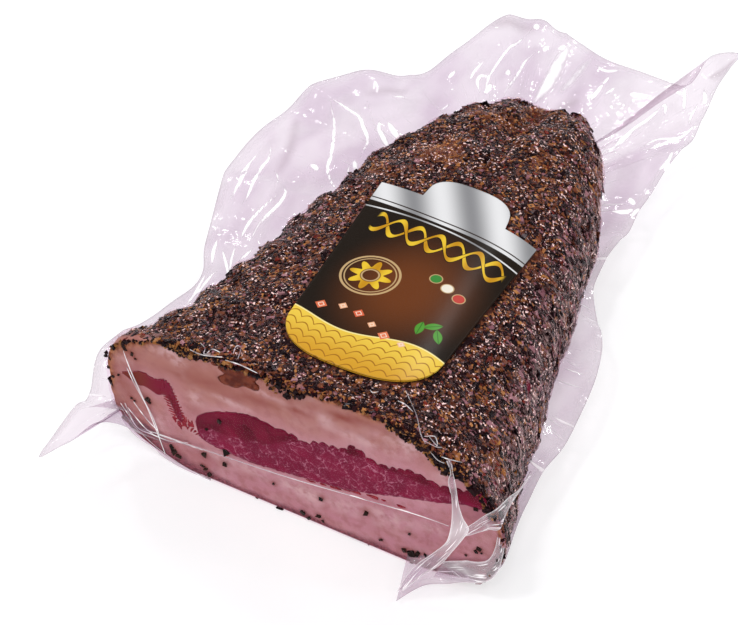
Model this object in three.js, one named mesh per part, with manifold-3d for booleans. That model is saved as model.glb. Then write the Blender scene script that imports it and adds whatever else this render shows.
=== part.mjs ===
// A piece of cured pork jowl with a cracked-pepper crust, cut straight across at its wide end and
// sealed in clear vacuum film. Millimetres, +Z up. The jowl is built with its cut face in the plane
// y = 0, facing -Y, and its narrow round end at y = JOWL_LENGTH; the whole model is then moved so
// that its origin is under the middle of its bounding box, on the surface it lies on.

import * as THREE from 'three';
import { mergeVertices } from 'three/addons/utils/BufferGeometryUtils.js';
import Module from 'manifold-3d';

const wasm = await Module();
wasm.setup();
const { Manifold, Mesh: ManifoldMesh } = wasm;

// Jowl: plan and height

const JOWL_LENGTH = 197;
const FACE_HALF_WIDTH = 75;
const TAIL_LEFT = 27; // half widths that the tapering sides head for, before the end rounds off
const TAIL_RIGHT = 34;
const FLARE = 11; // how far the left side spreads where it meets the cut face
const FLARE_REACH = 0.12; // as a share of the length
const LEFT_BELLY = 3;
const RIGHT_WAIST = 2;
const FACE_HEIGHT = 68;
const TAIL_HEIGHT = 46;
const HEIGHT_LEAN = 3; // the right shoulder is this much higher than the middle, the left lower
const ROUND_FROM = 0.62; // share of the length where the round end starts
const ROUND_POWER = 2.4;
const ROUND_HEIGHT = 26; // height of the tip of the round end
const ROUND_HEIGHT_POWER = 0.9;

// Jowl: cross-section, a superellipse whose widest level lies lower on the right

const WAIST_HEIGHT = 31;
const WAIST_LEAN = 6;
const TOP_POWER = 2.8;
const TOP_POWER_LEAN = 0.35;
const BASE_POWER = 3.2;
const SETTLE = 2; // how far the soft underside is pressed flat where it lies
const SPACING_POWER = 2.6;

// Jowl: the fold in the crust at the round end

const FOLD_DEPTH = 4;
const FOLD_HALF_WIDTH = 5;
const FOLD_FROM = 128;
const FOLD_TO = 184;

// Crust

const CRUST_LUMP = 0.7;
const CRAG = 0.6;
const CRUST_FOOT = 3; // below this height the underside is smooth rind
const CRUST_FULL = 12;
const RINGS = 28;
const RING_POINTS = 52;
const RING_CROWDING = 1.5;
const GRAIN_COUNT = 144;
const GRAIN_RADIUS = [1.5, 2.5];
const GRAIN_ANGLES = [-0.28, Math.PI + 0.3];
const GRAIN_FLAT = 0.8;
const GRAIN_SINK = 0.1; // share of its radius that a grain's middle lies below the skin
const SEED = 41;

// Lean meat in the cut face: [x, underside, top] from left to right, at the face

const LEAN_MUSCLE = [
  [-40.6, 26, 29.5], [-37, 20, 35.3], [-30, 19.4, 39.6], [-21, 19.3, 43.4], [-12, 20.2, 43],
  [0, 22.3, 42], [8, 23.8, 44.6], [15, 25.1, 45.6], [21, 26.8, 49.4], [27, 29, 46.7], [34, 31.9, 46.4],
  [43, 35.4, 48.6], [51, 38.3, 47], [59, 41.6, 49.2], [64.5, 43.2, 49.4], [68, 44.8, 46.4],
];
const LEAN_STREAK = [
  [-69.3, 38, 39.8], [-64, 34.8, 41.8], [-58, 36.2, 42.4], [-53, 35.2, 42], [-49.5, 32, 40.8],
  [-47.2, 25, 35.5], [-45, 22.4, 27.5],
];
const LEAN_REACH = 0.86; // share of the jowl's length that the lean runs through
const LEAN_RINGS = 7;
const LEAN_DETAIL = 1.4; // outline points for each station
const LEAN_END = 0.35; // share of its thickness that is left at the far end
const GAP = 0.3;

// Film: [x, y, height of the edge, height where it leaves the meat if not FILM_ROOT], round from the
// left ear over the round end to the gathered corner at the right

const FILM_ROOT = 20;
const FILM_EDGE = [
  [-63, -1.5, 11, 11], [-72, -3.5, 14, 14], [-77.5, -8.5, 16, 16], [-81.5, -20, 17, 17],
  [-84.5, -31, 17, 17], [-84.6, -8, 19, 18], [-85, 2, 20], [-91, 21, 21], [-80, 43, 20], [-78, 66, 20],
  [-86, 83, 19], [-94, 107, 18], [-98, 126, 19], [-96.5, 152, 20], [-92, 168, 21], [-83.5, 183, 21],
  [-72, 194.5, 20], [-57, 206, 19], [-51, 222, 20], [-42, 243, 21], [-32, 251, 22], [-22, 249, 21],
  [-10, 243.5, 19], [14, 243.5, 18], [35, 244, 21], [39.5, 256, 24], [49.8, 262, 25], [47, 246, 22],
  [49, 228, 21], [50.5, 213, 20], [47.8, 192, 20], [47.5, 174, 21], [49, 158, 21], [48.2, 140, 20],
  [49.5, 128, 20], [57, 115, 20], [65.5, 100, 19], [70, 80, 20], [71, 60, 20], [70.5, 41, 19],
  [71, 27, 15, 16], [73.8, 13, 11.5, 12.5], [74.8, 3, 10.5, 12], [69.5, -4, 8, 11], [60, -7, 6, 9],
  [51.5, -11, 5, 7], [46, -18, 4, 5],
];
const FILM_THICKNESS = 0.8;
const FILM_STEPS = 2; // stations for each stretch of the edge
const FILM_ROWS = 3;
const FILM_WAVE = 2.2;
const FILM_WAVES = 13;
const FILM_CLEARANCE = 0.35;
const FILM_INSET = 4; // how far the film's root starts inside the meat before it is trimmed
const FILM_AXIS_END = 150; // past this length the film fans out round the end
const EAR_AXIS = 14;

// Label: a paper sheet on the crust with a round lower end and an arched crest

const LABEL_RIGHT = 36;
const LABEL_LEFT = -21;
const LABEL_LEFT_LEAN = 0.085;
const LABEL_FOOT = 14.5;
const LABEL_SHOULDER = 38;
const LABEL_TOP = 110;
const LABEL_TOP_LEAN = -5;
const LABEL_ROUND_POWER = 2.6;
const CREST_RISE = 13;
const CREST_MIDDLE = 0.53; // share of the label's width
const CREST_HALF_WIDTH = 0.26;
const CREST_POWER = 3;
const LABEL_COLUMNS = 18;
const LABEL_ROWS = 11;
const LABEL_THICKNESS = 0.6;
const LABEL_GAP = 0.45;
const LABEL_MARGIN = 5; // the crust is pressed flat this far round the label

const COLOURS = { crust: 0x4a3236, lean: 0x8a2340, film: 0xe6dbe8, label: 0x3a2216 };

function clamp(value, low, high) {
  return Math.min(high, Math.max(low, value));
}

function smoothStep(low, high, value) {
  const t = clamp((value - low) / (high - low), 0, 1);
  return t * t * (3 - 2 * t);
}

function mix(a, b, t) {
  return a + (b - a) * t;
}

function signedPower(value, power) {
  return Math.sign(value) * Math.pow(Math.abs(value), power);
}

// The quarter curve of a superellipse: 1 in the middle, 0 at the rim.
function bow(share, power) {
  return Math.pow(Math.max(0, 1 - Math.pow(Math.min(1, Math.abs(share)), power)), 1 / power);
}

function makeRandom(seed) {
  let state = seed;
  return () => {
    state = (state + 0x6d2b79f5) | 0;
    let t = Math.imul(state ^ (state >>> 15), 1 | state);
    t = (t + Math.imul(t ^ (t >>> 7), 61 | t)) ^ t;
    return ((t ^ (t >>> 14)) >>> 0) / 4294967296;
  };
}

// The jowl's width, place and height at one distance behind the cut face.
function sectionAt(y) {
  const u = clamp(y / JOWL_LENGTH, 0, 1);
  const closing = bow(Math.max(0, (u - ROUND_FROM) / (1 - ROUND_FROM)), ROUND_POWER);
  const flare = FLARE * Math.exp(-Math.pow(u / FLARE_REACH, 1.5));
  const swell = Math.sin(Math.PI * u);
  const left = -mix(FACE_HALF_WIDTH - FLARE, TAIL_LEFT, u) - flare - LEFT_BELLY * swell;
  const right = mix(FACE_HALF_WIDTH, TAIL_RIGHT, u) - RIGHT_WAIST * swell;
  return {
    middle: (left + right) / 2,
    half: ((right - left) / 2) * closing,
    top: mix(FACE_HEIGHT, TAIL_HEIGHT, u),
    closing: Math.pow(closing, ROUND_HEIGHT_POWER),
  };
}

// Height of the skin at side share s, -1 at the left rim to 1 at the right, above or below the waist.
function skinHeight(s, section, upper) {
  const waist = WAIST_HEIGHT - WAIST_LEAN * s;
  const rise = section.top + HEIGHT_LEAN * s - waist;
  const z = upper
    ? waist + rise * bow(s, TOP_POWER - TOP_POWER_LEAN * s)
    : waist - (waist + SETTLE) * bow(s, BASE_POWER);
  return Math.max(0, ROUND_HEIGHT + (z - ROUND_HEIGHT) * section.closing);
}

function foldDepth(x, y) {
  return FOLD_DEPTH * smoothStep(FOLD_FROM, FOLD_TO, y) * Math.exp(-Math.pow(x / FOLD_HALF_WIDTH, 2));
}

// A point on the smooth jowl, at an angle round its section and a distance behind the cut face.
function skinPoint(angle, y) {
  const section = sectionAt(y);
  const s = signedPower(Math.cos(angle), 2 / SPACING_POWER);
  const upper = Math.sin(angle) >= 0;
  const x = section.middle + section.half * s;
  const fold = upper ? foldDepth(x, y) : 0;
  return new THREE.Vector3(x, clamp(y, 0, JOWL_LENGTH), Math.max(0, skinHeight(s, section, upper) - fold));
}

function topHeight(x, y) {
  const section = sectionAt(y);
  const s = clamp((x - section.middle) / section.half, -1, 1);
  return skinHeight(s, section, true) - foldDepth(x, y);
}

function skinNormal(angle, y) {
  const step = 0.01;
  const round = skinPoint(angle + step, y).sub(skinPoint(angle - step, y));
  const along = skinPoint(angle, Math.min(y + 1, JOWL_LENGTH)).sub(skinPoint(angle, Math.max(y - 1, 0)));
  return round.cross(along).negate().normalize();
}

// How far outside the label's outline a point of the plan is: 0 under the label, 1 well clear of it.
function clearOfLabel(x, y) {
  const left = labelLeft(y) - LABEL_MARGIN;
  const right = LABEL_RIGHT + LABEL_MARGIN;
  const share = clamp((x - left) / (right - left), 0, 1);
  const ends = Math.max(labelFoot(share) - LABEL_MARGIN - y, y - labelTop(share) - LABEL_MARGIN);
  const sides = Math.max(left - x, x - right);
  return smoothStep(-LABEL_MARGIN / 2, LABEL_MARGIN / 2, Math.max(ends, sides));
}

function crustShare(point) {
  return smoothStep(CRUST_FOOT, CRUST_FULL, point.z) * clearOfLabel(point.x, point.y);
}

function crustLump(angle, y) {
  const across = 7 * angle;
  const along = (2 * Math.PI * y) / 26;
  return CRUST_LUMP * (Math.sin(across + 0.6 * along) + Math.sin(1.7 * along - 0.8 * across + 2));
}

function indexedGeometry(points, faces) {
  const geometry = new THREE.BufferGeometry();
  const places = points.flatMap((point) => [point.x, point.y, point.z]);
  geometry.setAttribute('position', new THREE.Float32BufferAttribute(places, 3));
  geometry.setIndex(faces.flat());
  return geometry;
}

// Two triangles for each cell between ring i and ring i + 1, of rings that close on themselves.
function ringFaces(rings, count) {
  const faces = [];
  for (let i = 0; i < rings - 1; i += 1) {
    for (let j = 0; j < count; j += 1) {
      const a = i * count + j;
      const b = i * count + ((j + 1) % count);
      faces.push([a, b, b + count], [a, b + count, a + count]);
    }
  }
  return faces;
}

function fan(hub, first, count, turned) {
  const faces = [];
  for (let j = 0; j < count; j += 1) {
    const a = first + j;
    const b = first + ((j + 1) % count);
    faces.push(turned ? [hub, b, a] : [hub, a, b]);
  }
  return faces;
}

// The jowl as rings of points from the cut face to the tip of the round end, grown by a clearance.
function jowlGeometry(grow) {
  const random = makeRandom(SEED);
  const points = [];
  for (let i = 0; i < RINGS; i += 1) {
    const y = JOWL_LENGTH * (1 - Math.pow(1 - i / RINGS, RING_CROWDING));
    for (let j = 0; j < RING_POINTS; j += 1) {
      const angle = (2 * Math.PI * j) / RING_POINTS;
      const point = skinPoint(angle, y);
      const relief = crustShare(point) * (crustLump(angle, y) + CRAG * (2 * random() - 1));
      point.addScaledVector(skinNormal(angle, y), relief + grow);
      point.y = i === 0 ? -grow : point.y;
      points.push(point);
    }
  }
  points.push(new THREE.Vector3(sectionAt(0).middle, -grow, WAIST_HEIGHT));
  points.push(new THREE.Vector3(sectionAt(JOWL_LENGTH).middle, JOWL_LENGTH + grow, ROUND_HEIGHT));
  const hub = RINGS * RING_POINTS;
  const faces = ringFaces(RINGS, RING_POINTS).map(([a, b, c]) => [a, c, b]);
  faces.push(...fan(hub, 0, RING_POINTS, false));
  faces.push(...fan(hub + 1, (RINGS - 1) * RING_POINTS, RING_POINTS, true));
  return indexedGeometry(points, faces);
}

// One cracked grain of pepper: a flattened lump with uneven corners, its flat side to the skin.
function grainGeometry(place, normal, radius, random) {
  const geometry = new THREE.IcosahedronGeometry(radius, 0);
  geometry.deleteAttribute('normal');
  geometry.deleteAttribute('uv');
  const lump = mergeVertices(geometry);
  const corners = lump.getAttribute('position');
  for (let i = 0; i < corners.count; i += 1) {
    const uneven = 0.8 + 0.4 * random();
    corners.setXYZ(i, corners.getX(i) * uneven, corners.getY(i) * uneven, corners.getZ(i) * uneven);
  }
  lump.rotateZ(2 * Math.PI * random());
  lump.scale(1, 0.75 + 0.25 * random(), GRAIN_FLAT);
  const upright = new THREE.Quaternion().setFromUnitVectors(new THREE.Vector3(0, 0, 1), normal);
  lump.applyQuaternion(upright);
  const centre = place.clone().addScaledVector(normal, -radius * GRAIN_SINK);
  lump.translate(centre.x, centre.y, centre.z);
  return lump;
}

// Grains spread evenly over the crust by a two-step additive rule, thinned where the jowl narrows.
function grainGeometries() {
  const random = makeRandom(SEED + 1);
  const grains = [];
  for (let i = 1; grains.length < GRAIN_COUNT; i += 1) {
    const angle = mix(GRAIN_ANGLES[0], GRAIN_ANGLES[1], (i * 0.7548776662) % 1);
    const y = mix(4, 0.96 * JOWL_LENGTH, (i * 0.5698402909) % 1);
    const place = skinPoint(angle, y);
    const radius = mix(GRAIN_RADIUS[1], GRAIN_RADIUS[0], grains.length / GRAIN_COUNT);
    const atFilm = Math.abs(place.z - FILM_ROOT) < 2 * radius;
    const thinned = random() > sectionAt(y).half / FACE_HALF_WIDTH;
    if (thinned || atFilm || crustShare(place) < 0.95) continue;
    const normal = skinNormal(angle, y);
    const onCrust = place.clone().addScaledVector(normal, crustLump(angle, y));
    grains.push(grainGeometry(onCrust, normal, radius, random));
  }
  return grains;
}

// Moves each corner of a closed outline that runs anticlockwise outwards by a clearance.
function grownOutline(outline, grow) {
  return outline.map((point, i) => {
    const before = outline[(i + outline.length - 1) % outline.length];
    const after = outline[(i + 1) % outline.length];
    const edges = [point.clone().sub(before).normalize(), after.clone().sub(point).normalize()];
    const [n, m] = edges.map((edge) => new THREE.Vector2(edge.y, -edge.x));
    const corner = n.clone().add(m).normalize();
    return point.clone().addScaledVector(corner, grow / Math.max(0.5, corner.dot(n)));
  });
}

// The outline of a layer of lean at the face, from its stations, running anticlockwise.
function leanOutline(stations) {
  const lower = stations.map(([x, bottom]) => new THREE.Vector2(x, bottom));
  const upper = stations.map(([x, , top]) => new THREE.Vector2(x, top)).reverse();
  const perSide = Math.round(LEAN_DETAIL * stations.length);
  const sides = [new THREE.SplineCurve(lower), new THREE.SplineCurve(upper)];
  return sides.flatMap((side) => side.getPoints(perSide - 1));
}

// That outline further back, where it has shrunk and thinned with the jowl.
function leanOutlineAt(outline, share) {
  const [face, section] = [sectionAt(0), sectionAt(LEAN_REACH * JOWL_LENGTH * share)];
  const level = outline.reduce((sum, point) => sum + point.y, 0) / outline.length;
  const thin = mix(1, LEAN_END, Math.pow(share, 4));
  return outline.map((point) => {
    const x = section.middle + (section.half * (point.x - face.middle)) / face.half;
    const height = ((level + (point.y - level) * thin) * section.top) / face.top;
    return new THREE.Vector2(x, ROUND_HEIGHT + (height - ROUND_HEIGHT) * section.closing);
  });
}

// Lean meat: its outline at the face is carried back along the jowl. A pocket for it has some
// clearance all round and runs on straight past both ends.
function leanGeometry(stations, clearance = 0) {
  const outline = leanOutline(stations);
  const rings = [];
  for (let i = 0; i < LEAN_RINGS; i += 1) {
    const share = i / (LEAN_RINGS - 1);
    rings.push({ share, y: LEAN_REACH * JOWL_LENGTH * share });
  }
  if (clearance > 0) {
    rings.unshift({ share: 0, y: -clearance });
    rings.push({ share: 1, y: LEAN_REACH * JOWL_LENGTH + clearance });
  }
  const points = rings.flatMap(({ share, y }) =>
    grownOutline(leanOutlineAt(outline, share), clearance)
      .map((point) => new THREE.Vector3(point.x, y, point.y)));
  const count = outline.length;
  const last = (rings.length - 1) * count;
  const faces = ringFaces(rings.length, count).map(([a, b, c]) => [a, c, b]);
  const flatFace = THREE.ShapeUtils.triangulateShape(outline, []);
  faces.push(...flatFace);
  faces.push(...flatFace.map(([a, b, c]) => [last + a, last + c, last + b]));
  return indexedGeometry(points, faces);
}

// A sheet between two surfaces that are split into triangles alike, with walls round its edge.
function sheetGeometry(columns, rows, place) {
  const points = [];
  for (const side of [0, 1]) {
    for (let i = 0; i <= columns; i += 1) {
      for (let j = 0; j <= rows; j += 1) points.push(place(i / columns, j / rows, side));
    }
  }
  const stride = rows + 1;
  const back = (columns + 1) * stride;
  const faces = [];
  for (let i = 0; i < columns; i += 1) {
    for (let j = 0; j < rows; j += 1) {
      const a = i * stride + j;
      const [b, c, d] = [a + stride, a + stride + 1, a + 1];
      faces.push([a, b, c], [a, c, d]);
      faces.push([back + a, back + c, back + b], [back + a, back + d, back + c]);
    }
  }
  const rim = [];
  for (let i = 0; i < columns; i += 1) rim.push(i * stride);
  for (let j = 0; j < rows; j += 1) rim.push(columns * stride + j);
  for (let i = columns; i > 0; i -= 1) rim.push(i * stride + rows);
  for (let j = rows; j > 0; j -= 1) rim.push(j);
  rim.forEach((a, k) => {
    const b = rim[(k + 1) % rim.length];
    faces.push([a, back + b, b], [a, back + a, back + b]);
  });
  return indexedGeometry(points, faces);
}

function labelLeft(y) {
  return LABEL_LEFT - LABEL_LEFT_LEAN * Math.max(0, y - LABEL_SHOULDER);
}

function labelFoot(share) {
  return LABEL_SHOULDER - (LABEL_SHOULDER - LABEL_FOOT) * bow(2 * share - 1, LABEL_ROUND_POWER);
}

function labelTop(share) {
  const crest = CREST_RISE * bow((share - CREST_MIDDLE) / CREST_HALF_WIDTH, CREST_POWER);
  return LABEL_TOP + LABEL_TOP_LEAN * share + crest;
}

function labelPoint(across, up, side) {
  const y = mix(labelFoot(across), labelTop(across), up);
  const x = mix(labelLeft(y), LABEL_RIGHT, across);
  const lift = side === 0 ? LABEL_GAP + LABEL_THICKNESS : LABEL_GAP;
  return new THREE.Vector3(x, y, topHeight(x, y) + lift);
}

// Whether a point of the plan is inside the jowl's outline, seen from above.
function insidePlan(point) {
  const section = sectionAt(point.y);
  return point.y > 0 && point.y < JOWL_LENGTH && Math.abs(point.x - section.middle) < section.half;
}

// The point of the jowl's axis that a point of the film's edge is stretched from.
function filmAxis(edge) {
  const inEar = 1 - smoothStep(-12, 6, edge.y);
  const y = mix(Math.min(edge.y, FILM_AXIS_END), EAR_AXIS, inEar);
  return new THREE.Vector2(mix(sectionAt(y).middle, 0.8 * edge.x, inEar), y);
}

function filmRoot(edge) {
  const axis = filmAxis(edge);
  const probe = new THREE.Vector2();
  let [inside, outside] = [0, 1];
  for (let step = 0; step < 24; step += 1) {
    const half = (inside + outside) / 2;
    probe.set(mix(axis.x, edge.x, half), mix(axis.y, edge.y, half));
    if (insidePlan(probe)) inside = half;
    else outside = half;
  }
  const reach = Math.hypot(edge.x - axis.x, edge.y - axis.y);
  const share = inside - FILM_INSET / reach;
  return new THREE.Vector2(mix(axis.x, edge.x, share), mix(axis.y, edge.y, share));
}

function filmGeometry() {
  const edgeCurve = new THREE.CatmullRomCurve3(
    FILM_EDGE.map(([x, y, z]) => new THREE.Vector3(x, y, z)), false, 'centripetal');
  const rootHeights = new THREE.CatmullRomCurve3(
    FILM_EDGE.map(([, , , root = FILM_ROOT], i) => new THREE.Vector3(i, 0, root)), false, 'centripetal');
  const columns = FILM_STEPS * (FILM_EDGE.length - 1);
  const place = (along, outwards, side) => {
    const edge = edgeCurve.getPoint(along);
    const root = filmRoot(edge);
    const fade = smoothStep(0, 0.1, along) * smoothStep(1, 0.88, along);
    const turn = 2 * Math.PI * FILM_WAVES * along;
    const wave = FILM_WAVE * fade * outwards * (Math.sin(turn) + 0.4 * Math.sin(2.3 * turn));
    const middle = mix(rootHeights.getPoint(along).z, edge.z, outwards) + wave;
    const half = (side === 0 ? FILM_THICKNESS : -FILM_THICKNESS) / 2;
    return new THREE.Vector3(mix(root.x, edge.x, outwards), mix(root.y, edge.y, outwards), middle + half);
  };
  return sheetGeometry(columns, FILM_ROWS, place);
}

function toSolid(geometry) {
  const vertProperties = new Float32Array(geometry.getAttribute('position').array);
  const triVerts = new Uint32Array(geometry.getIndex().array);
  return new Manifold(new ManifoldMesh({ numProp: 3, vertProperties, triVerts }));
}

function toGeometry(solid) {
  const { vertProperties, triVerts, numProp } = solid.getMesh();
  const geometry = new THREE.BufferGeometry();
  const corners = vertProperties.length / numProp;
  const places = new Float32Array(3 * corners);
  for (let i = 0; i < corners; i += 1) {
    places.set(vertProperties.subarray(i * numProp, i * numProp + 3), 3 * i);
  }
  geometry.setAttribute('position', new THREE.BufferAttribute(places, 3));
  geometry.setIndex([...triVerts]);
  geometry.computeVertexNormals();
  return geometry;
}

function named(name, geometry, material) {
  const mesh = new THREE.Mesh(geometry, material);
  mesh.name = name;
  return mesh;
}

function finish(color, roughness, more = {}) {
  return new THREE.MeshStandardMaterial({ color, roughness, metalness: 0, flatShading: true, ...more });
}

function curedJowl() {
  let solid = toSolid(jowlGeometry(0));
  for (const grain of grainGeometries()) solid = solid.add(toSolid(grain));
  for (const stations of [LEAN_MUSCLE, LEAN_STREAK]) {
    solid = solid.subtract(toSolid(leanGeometry(stations, GAP)));
  }
  return toGeometry(solid);
}

function vacuumFilm() {
  return toGeometry(toSolid(filmGeometry()).subtract(toSolid(jowlGeometry(FILM_CLEARANCE))));
}

const lean = () => finish(COLOURS.lean, 0.45);
const model = new THREE.Group();
model.add(named('cured_jowl', curedJowl(), finish(COLOURS.crust, 0.5)));
model.add(named('lean_muscle', leanGeometry(LEAN_MUSCLE), lean()));
model.add(named('lean_streak', leanGeometry(LEAN_STREAK), lean()));
model.add(named('vacuum_film', vacuumFilm(), finish(COLOURS.film, 0.1, { transparent: true, opacity: 0.4 })));
model.add(named('label', sheetGeometry(LABEL_COLUMNS, LABEL_ROWS, labelPoint), finish(COLOURS.label, 0.35)));

const box = new THREE.Box3().setFromObject(model);
model.position.set(-(box.min.x + box.max.x) / 2, -(box.min.y + box.max.y) / 2, -box.min.z);

const part = new THREE.Group();
part.add(model);

export default part;
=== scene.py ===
# %% [markdown]
# Peppered cured pork jowl in vacuum film.
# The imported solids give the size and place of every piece. This lesson dresses them: cut fat and lean
# with their marbling, a crust of thousands of cracked pepper grains, the tight film that shines over
# everything, the loose film round the edge and a printed paper label.
# Shapes are worked out as whole numpy arrays in the jowl's own millimetres, with the cut face at y = 0,
# and are moved into the frame's metres when a mesh is made.

# %% Load the frame
import math

import bpy
import numpy as np
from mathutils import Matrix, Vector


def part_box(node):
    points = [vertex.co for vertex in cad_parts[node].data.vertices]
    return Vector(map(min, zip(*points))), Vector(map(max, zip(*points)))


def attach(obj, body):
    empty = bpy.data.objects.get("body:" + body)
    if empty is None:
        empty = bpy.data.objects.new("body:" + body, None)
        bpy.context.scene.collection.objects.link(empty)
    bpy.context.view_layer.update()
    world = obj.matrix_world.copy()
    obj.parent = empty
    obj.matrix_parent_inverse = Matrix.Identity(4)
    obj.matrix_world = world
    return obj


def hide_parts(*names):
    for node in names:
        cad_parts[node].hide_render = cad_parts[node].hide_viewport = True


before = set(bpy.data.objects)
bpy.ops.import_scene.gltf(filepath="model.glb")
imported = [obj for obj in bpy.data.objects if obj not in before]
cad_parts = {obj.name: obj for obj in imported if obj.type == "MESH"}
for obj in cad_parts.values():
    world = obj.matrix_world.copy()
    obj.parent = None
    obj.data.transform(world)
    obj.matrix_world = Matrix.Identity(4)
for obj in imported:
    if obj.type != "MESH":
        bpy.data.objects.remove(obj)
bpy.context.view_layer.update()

# %% [markdown]
# The jowl's own coordinates.
# The label's right edge lies 36 mm right of the jowl's axis, and the lean's front lies in the cut face,
# so two packed boxes are enough to find where the jowl's x = 0, y = 0 is in the frame. Nothing is fitted
# by eye: every piece below starts from these three numbers.

# %% Find the jowl's origin in the frame
MM = 0.001
LABEL_RIGHT = 36.0
ORIGIN = np.array([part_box("label")[1][0] - LABEL_RIGHT * MM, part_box("lean_muscle")[0][1], 0.0])


def in_frame(points):
    """Jowl millimetres into the frame's metres: scale, then shift by the origin."""
    return np.asarray(points, float) * MM + ORIGIN


print("the jowl's origin in the frame:", ORIGIN.round(5))

# %% [markdown]
# Small tools for smooth shapes.
# A superellipse quarter curve makes round ends and sections with one number for how square they are.
# Smooth steps blend one zone into the next, and value noise gives natural unevenness that is the same
# on every run, because it is worked out from the place and a seed.

# %% Curves and noise


def smooth_step(low, high, value):
    """0 below low, 1 above high, and 3t^2 - 2t^3 between them."""
    t = np.clip((value - low) / (high - low), 0.0, 1.0)
    return t * t * (3 - 2 * t)


def bow(share, power):
    """Superellipse quarter: (1 - |share|^power)^(1/power), 1 in the middle and 0 at the rim."""
    return np.maximum(0.0, 1 - np.minimum(1.0, np.abs(share)) ** power) ** (1 / power)


def signed_power(value, power):
    """|value|^power with the sign of value."""
    return np.sign(value) * np.abs(value) ** power


def hashed(i, j, k, seed):
    """A number from 0 to 1 for each whole-number place: the fractional part of a large sine."""
    return np.modf(np.abs(np.sin(i * 127.1 + j * 311.7 + k * 74.7 + seed * 53.3) * 43758.5453))[0]


def noise(x, y, z=0.0, *, size, seed):
    """Value noise from -1 to 1: hashed numbers at the corners of cells of one size, blended smoothly."""
    x, y, z = np.broadcast_arrays(np.asarray(x, float) / size, np.asarray(y, float) / size,
                                  np.asarray(z, float) / size)
    i, j, k = np.floor(x), np.floor(y), np.floor(z)
    u, v, w = (smooth_step(0, 1, t) for t in (x - i, y - j, z - k))
    total = 0.0
    for di, dj, dk in np.ndindex(2, 2, 2):
        share = (u if di else 1 - u) * (v if dj else 1 - v) * (w if dk else 1 - w)
        total = total + share * hashed(i + di, j + dj, k + dk, seed)
    return 2 * total - 1


print("noise at three places:", noise([0.5, 1.5, 2.5], 0.2, size=1.0, seed=1).round(3))

# %% [markdown]
# The jowl's skin.
# A cured jowl is a long wedge: wide and tall at the cut, narrow and round at the other end, flat where
# it was lying. It could be sculpted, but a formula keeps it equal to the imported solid: at each distance
# behind the cut the section is a superellipse, squarer on the left, whose width and height taper, and
# both close to a point along another superellipse at the round end.

# %% Jowl sizes, in millimetres
JOWL_LENGTH = 197.0
FACE_HALF_WIDTH = 75.0
TAIL_LEFT = 27.0
TAIL_RIGHT = 34.0
FLARE = 11.0
FLARE_REACH = 0.12
FLARE_POWER = 1.5
LEFT_BELLY = 3.0
RIGHT_WAIST = 2.0
FACE_HEIGHT = 68.0
TAIL_HEIGHT = 46.0
HEIGHT_LEAN = 3.0
ROUND_FROM = 0.62
ROUND_POWER = 2.4
ROUND_HEIGHT = 26.0
ROUND_HEIGHT_POWER = 0.9
WAIST_HEIGHT = 31.0
WAIST_LEAN = 6.0
TOP_POWER = 2.8
TOP_POWER_LEAN = 0.35
BASE_POWER = 3.2
SETTLE = 2.0
SPACING_POWER = 2.6
FOLD_DEPTH = 4.0
FOLD_HALF_WIDTH = 5.0
FOLD_FROM = 128.0
FOLD_TO = 184.0
CRUST_LUMP = 0.7
LUMP_PITCH = 26.0
# Turns round, turns along and start of each wave.
LUMP_WAVES = ((7.0, 0.6, 0.0), (-5.6, 1.7, 2.0))
NORMAL_TURN = 0.004
NORMAL_STEP = 0.5
TIP_GAP = 0.8
print("the cut face is", 2 * FACE_HALF_WIDTH, "mm wide")

# %% Jowl surface


def section_at(y):
    """Middle, half width, top height and closing of the section at y, from straight tapers,
    an exponential flare at the face, half a sine for the belly and a superellipse at the end."""
    u = np.clip(np.asarray(y, float) / JOWL_LENGTH, 0, 1)
    closing = bow(np.maximum(0, (u - ROUND_FROM) / (1 - ROUND_FROM)), ROUND_POWER)
    flare = FLARE * np.exp(-(u / FLARE_REACH) ** FLARE_POWER)
    swell = np.sin(np.pi * u)
    left = -((FACE_HALF_WIDTH - FLARE) * (1 - u) + TAIL_LEFT * u) - flare - LEFT_BELLY * swell
    right = FACE_HALF_WIDTH * (1 - u) + TAIL_RIGHT * u - RIGHT_WAIST * swell
    top = FACE_HEIGHT * (1 - u) + TAIL_HEIGHT * u
    return (left + right) / 2, (right - left) / 2 * closing, top, closing ** ROUND_HEIGHT_POWER


def skin_height(s, y, upper):
    """Height of the skin at side share s (-1 left rim, 1 right rim): the waist's height, plus the rise
    to the top or minus the drop to the base, each times a superellipse, drawn in as the end closes."""
    _, _, top, closing = section_at(y)
    waist = WAIST_HEIGHT - WAIST_LEAN * s
    above = waist + (top + HEIGHT_LEAN * s - waist) * bow(s, TOP_POWER - TOP_POWER_LEAN * s)
    below = waist - (waist + SETTLE) * bow(s, BASE_POWER)
    z = ROUND_HEIGHT + (np.where(upper, above, below) - ROUND_HEIGHT) * closing
    return np.maximum(0, z)


def fold_depth(x, y):
    """Depth of the crease at the round end: a bell curve across, a smooth step along."""
    return FOLD_DEPTH * smooth_step(FOLD_FROM, FOLD_TO, y) * np.exp(-(x / FOLD_HALF_WIDTH) ** 2)


def skin_point(angle, y):
    """The smooth skin at an angle round the section and a distance y: x from the cosine's power,
    z from skin_height."""
    angle, y = np.broadcast_arrays(np.asarray(angle, float), np.asarray(y, float))
    middle, half, _, _ = section_at(y)
    s = signed_power(np.cos(angle), 2 / SPACING_POWER)
    upper = np.sin(angle) >= 0
    x = middle + half * s
    z = np.maximum(0, skin_height(s, y, upper) - np.where(upper, fold_depth(x, y), 0))
    return np.stack([x, np.clip(y, 0, JOWL_LENGTH), z], -1)


def unit(vectors):
    """Vectors scaled to length one."""
    return vectors / np.maximum(1e-9, np.linalg.norm(vectors, axis=-1, keepdims=True))


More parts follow.
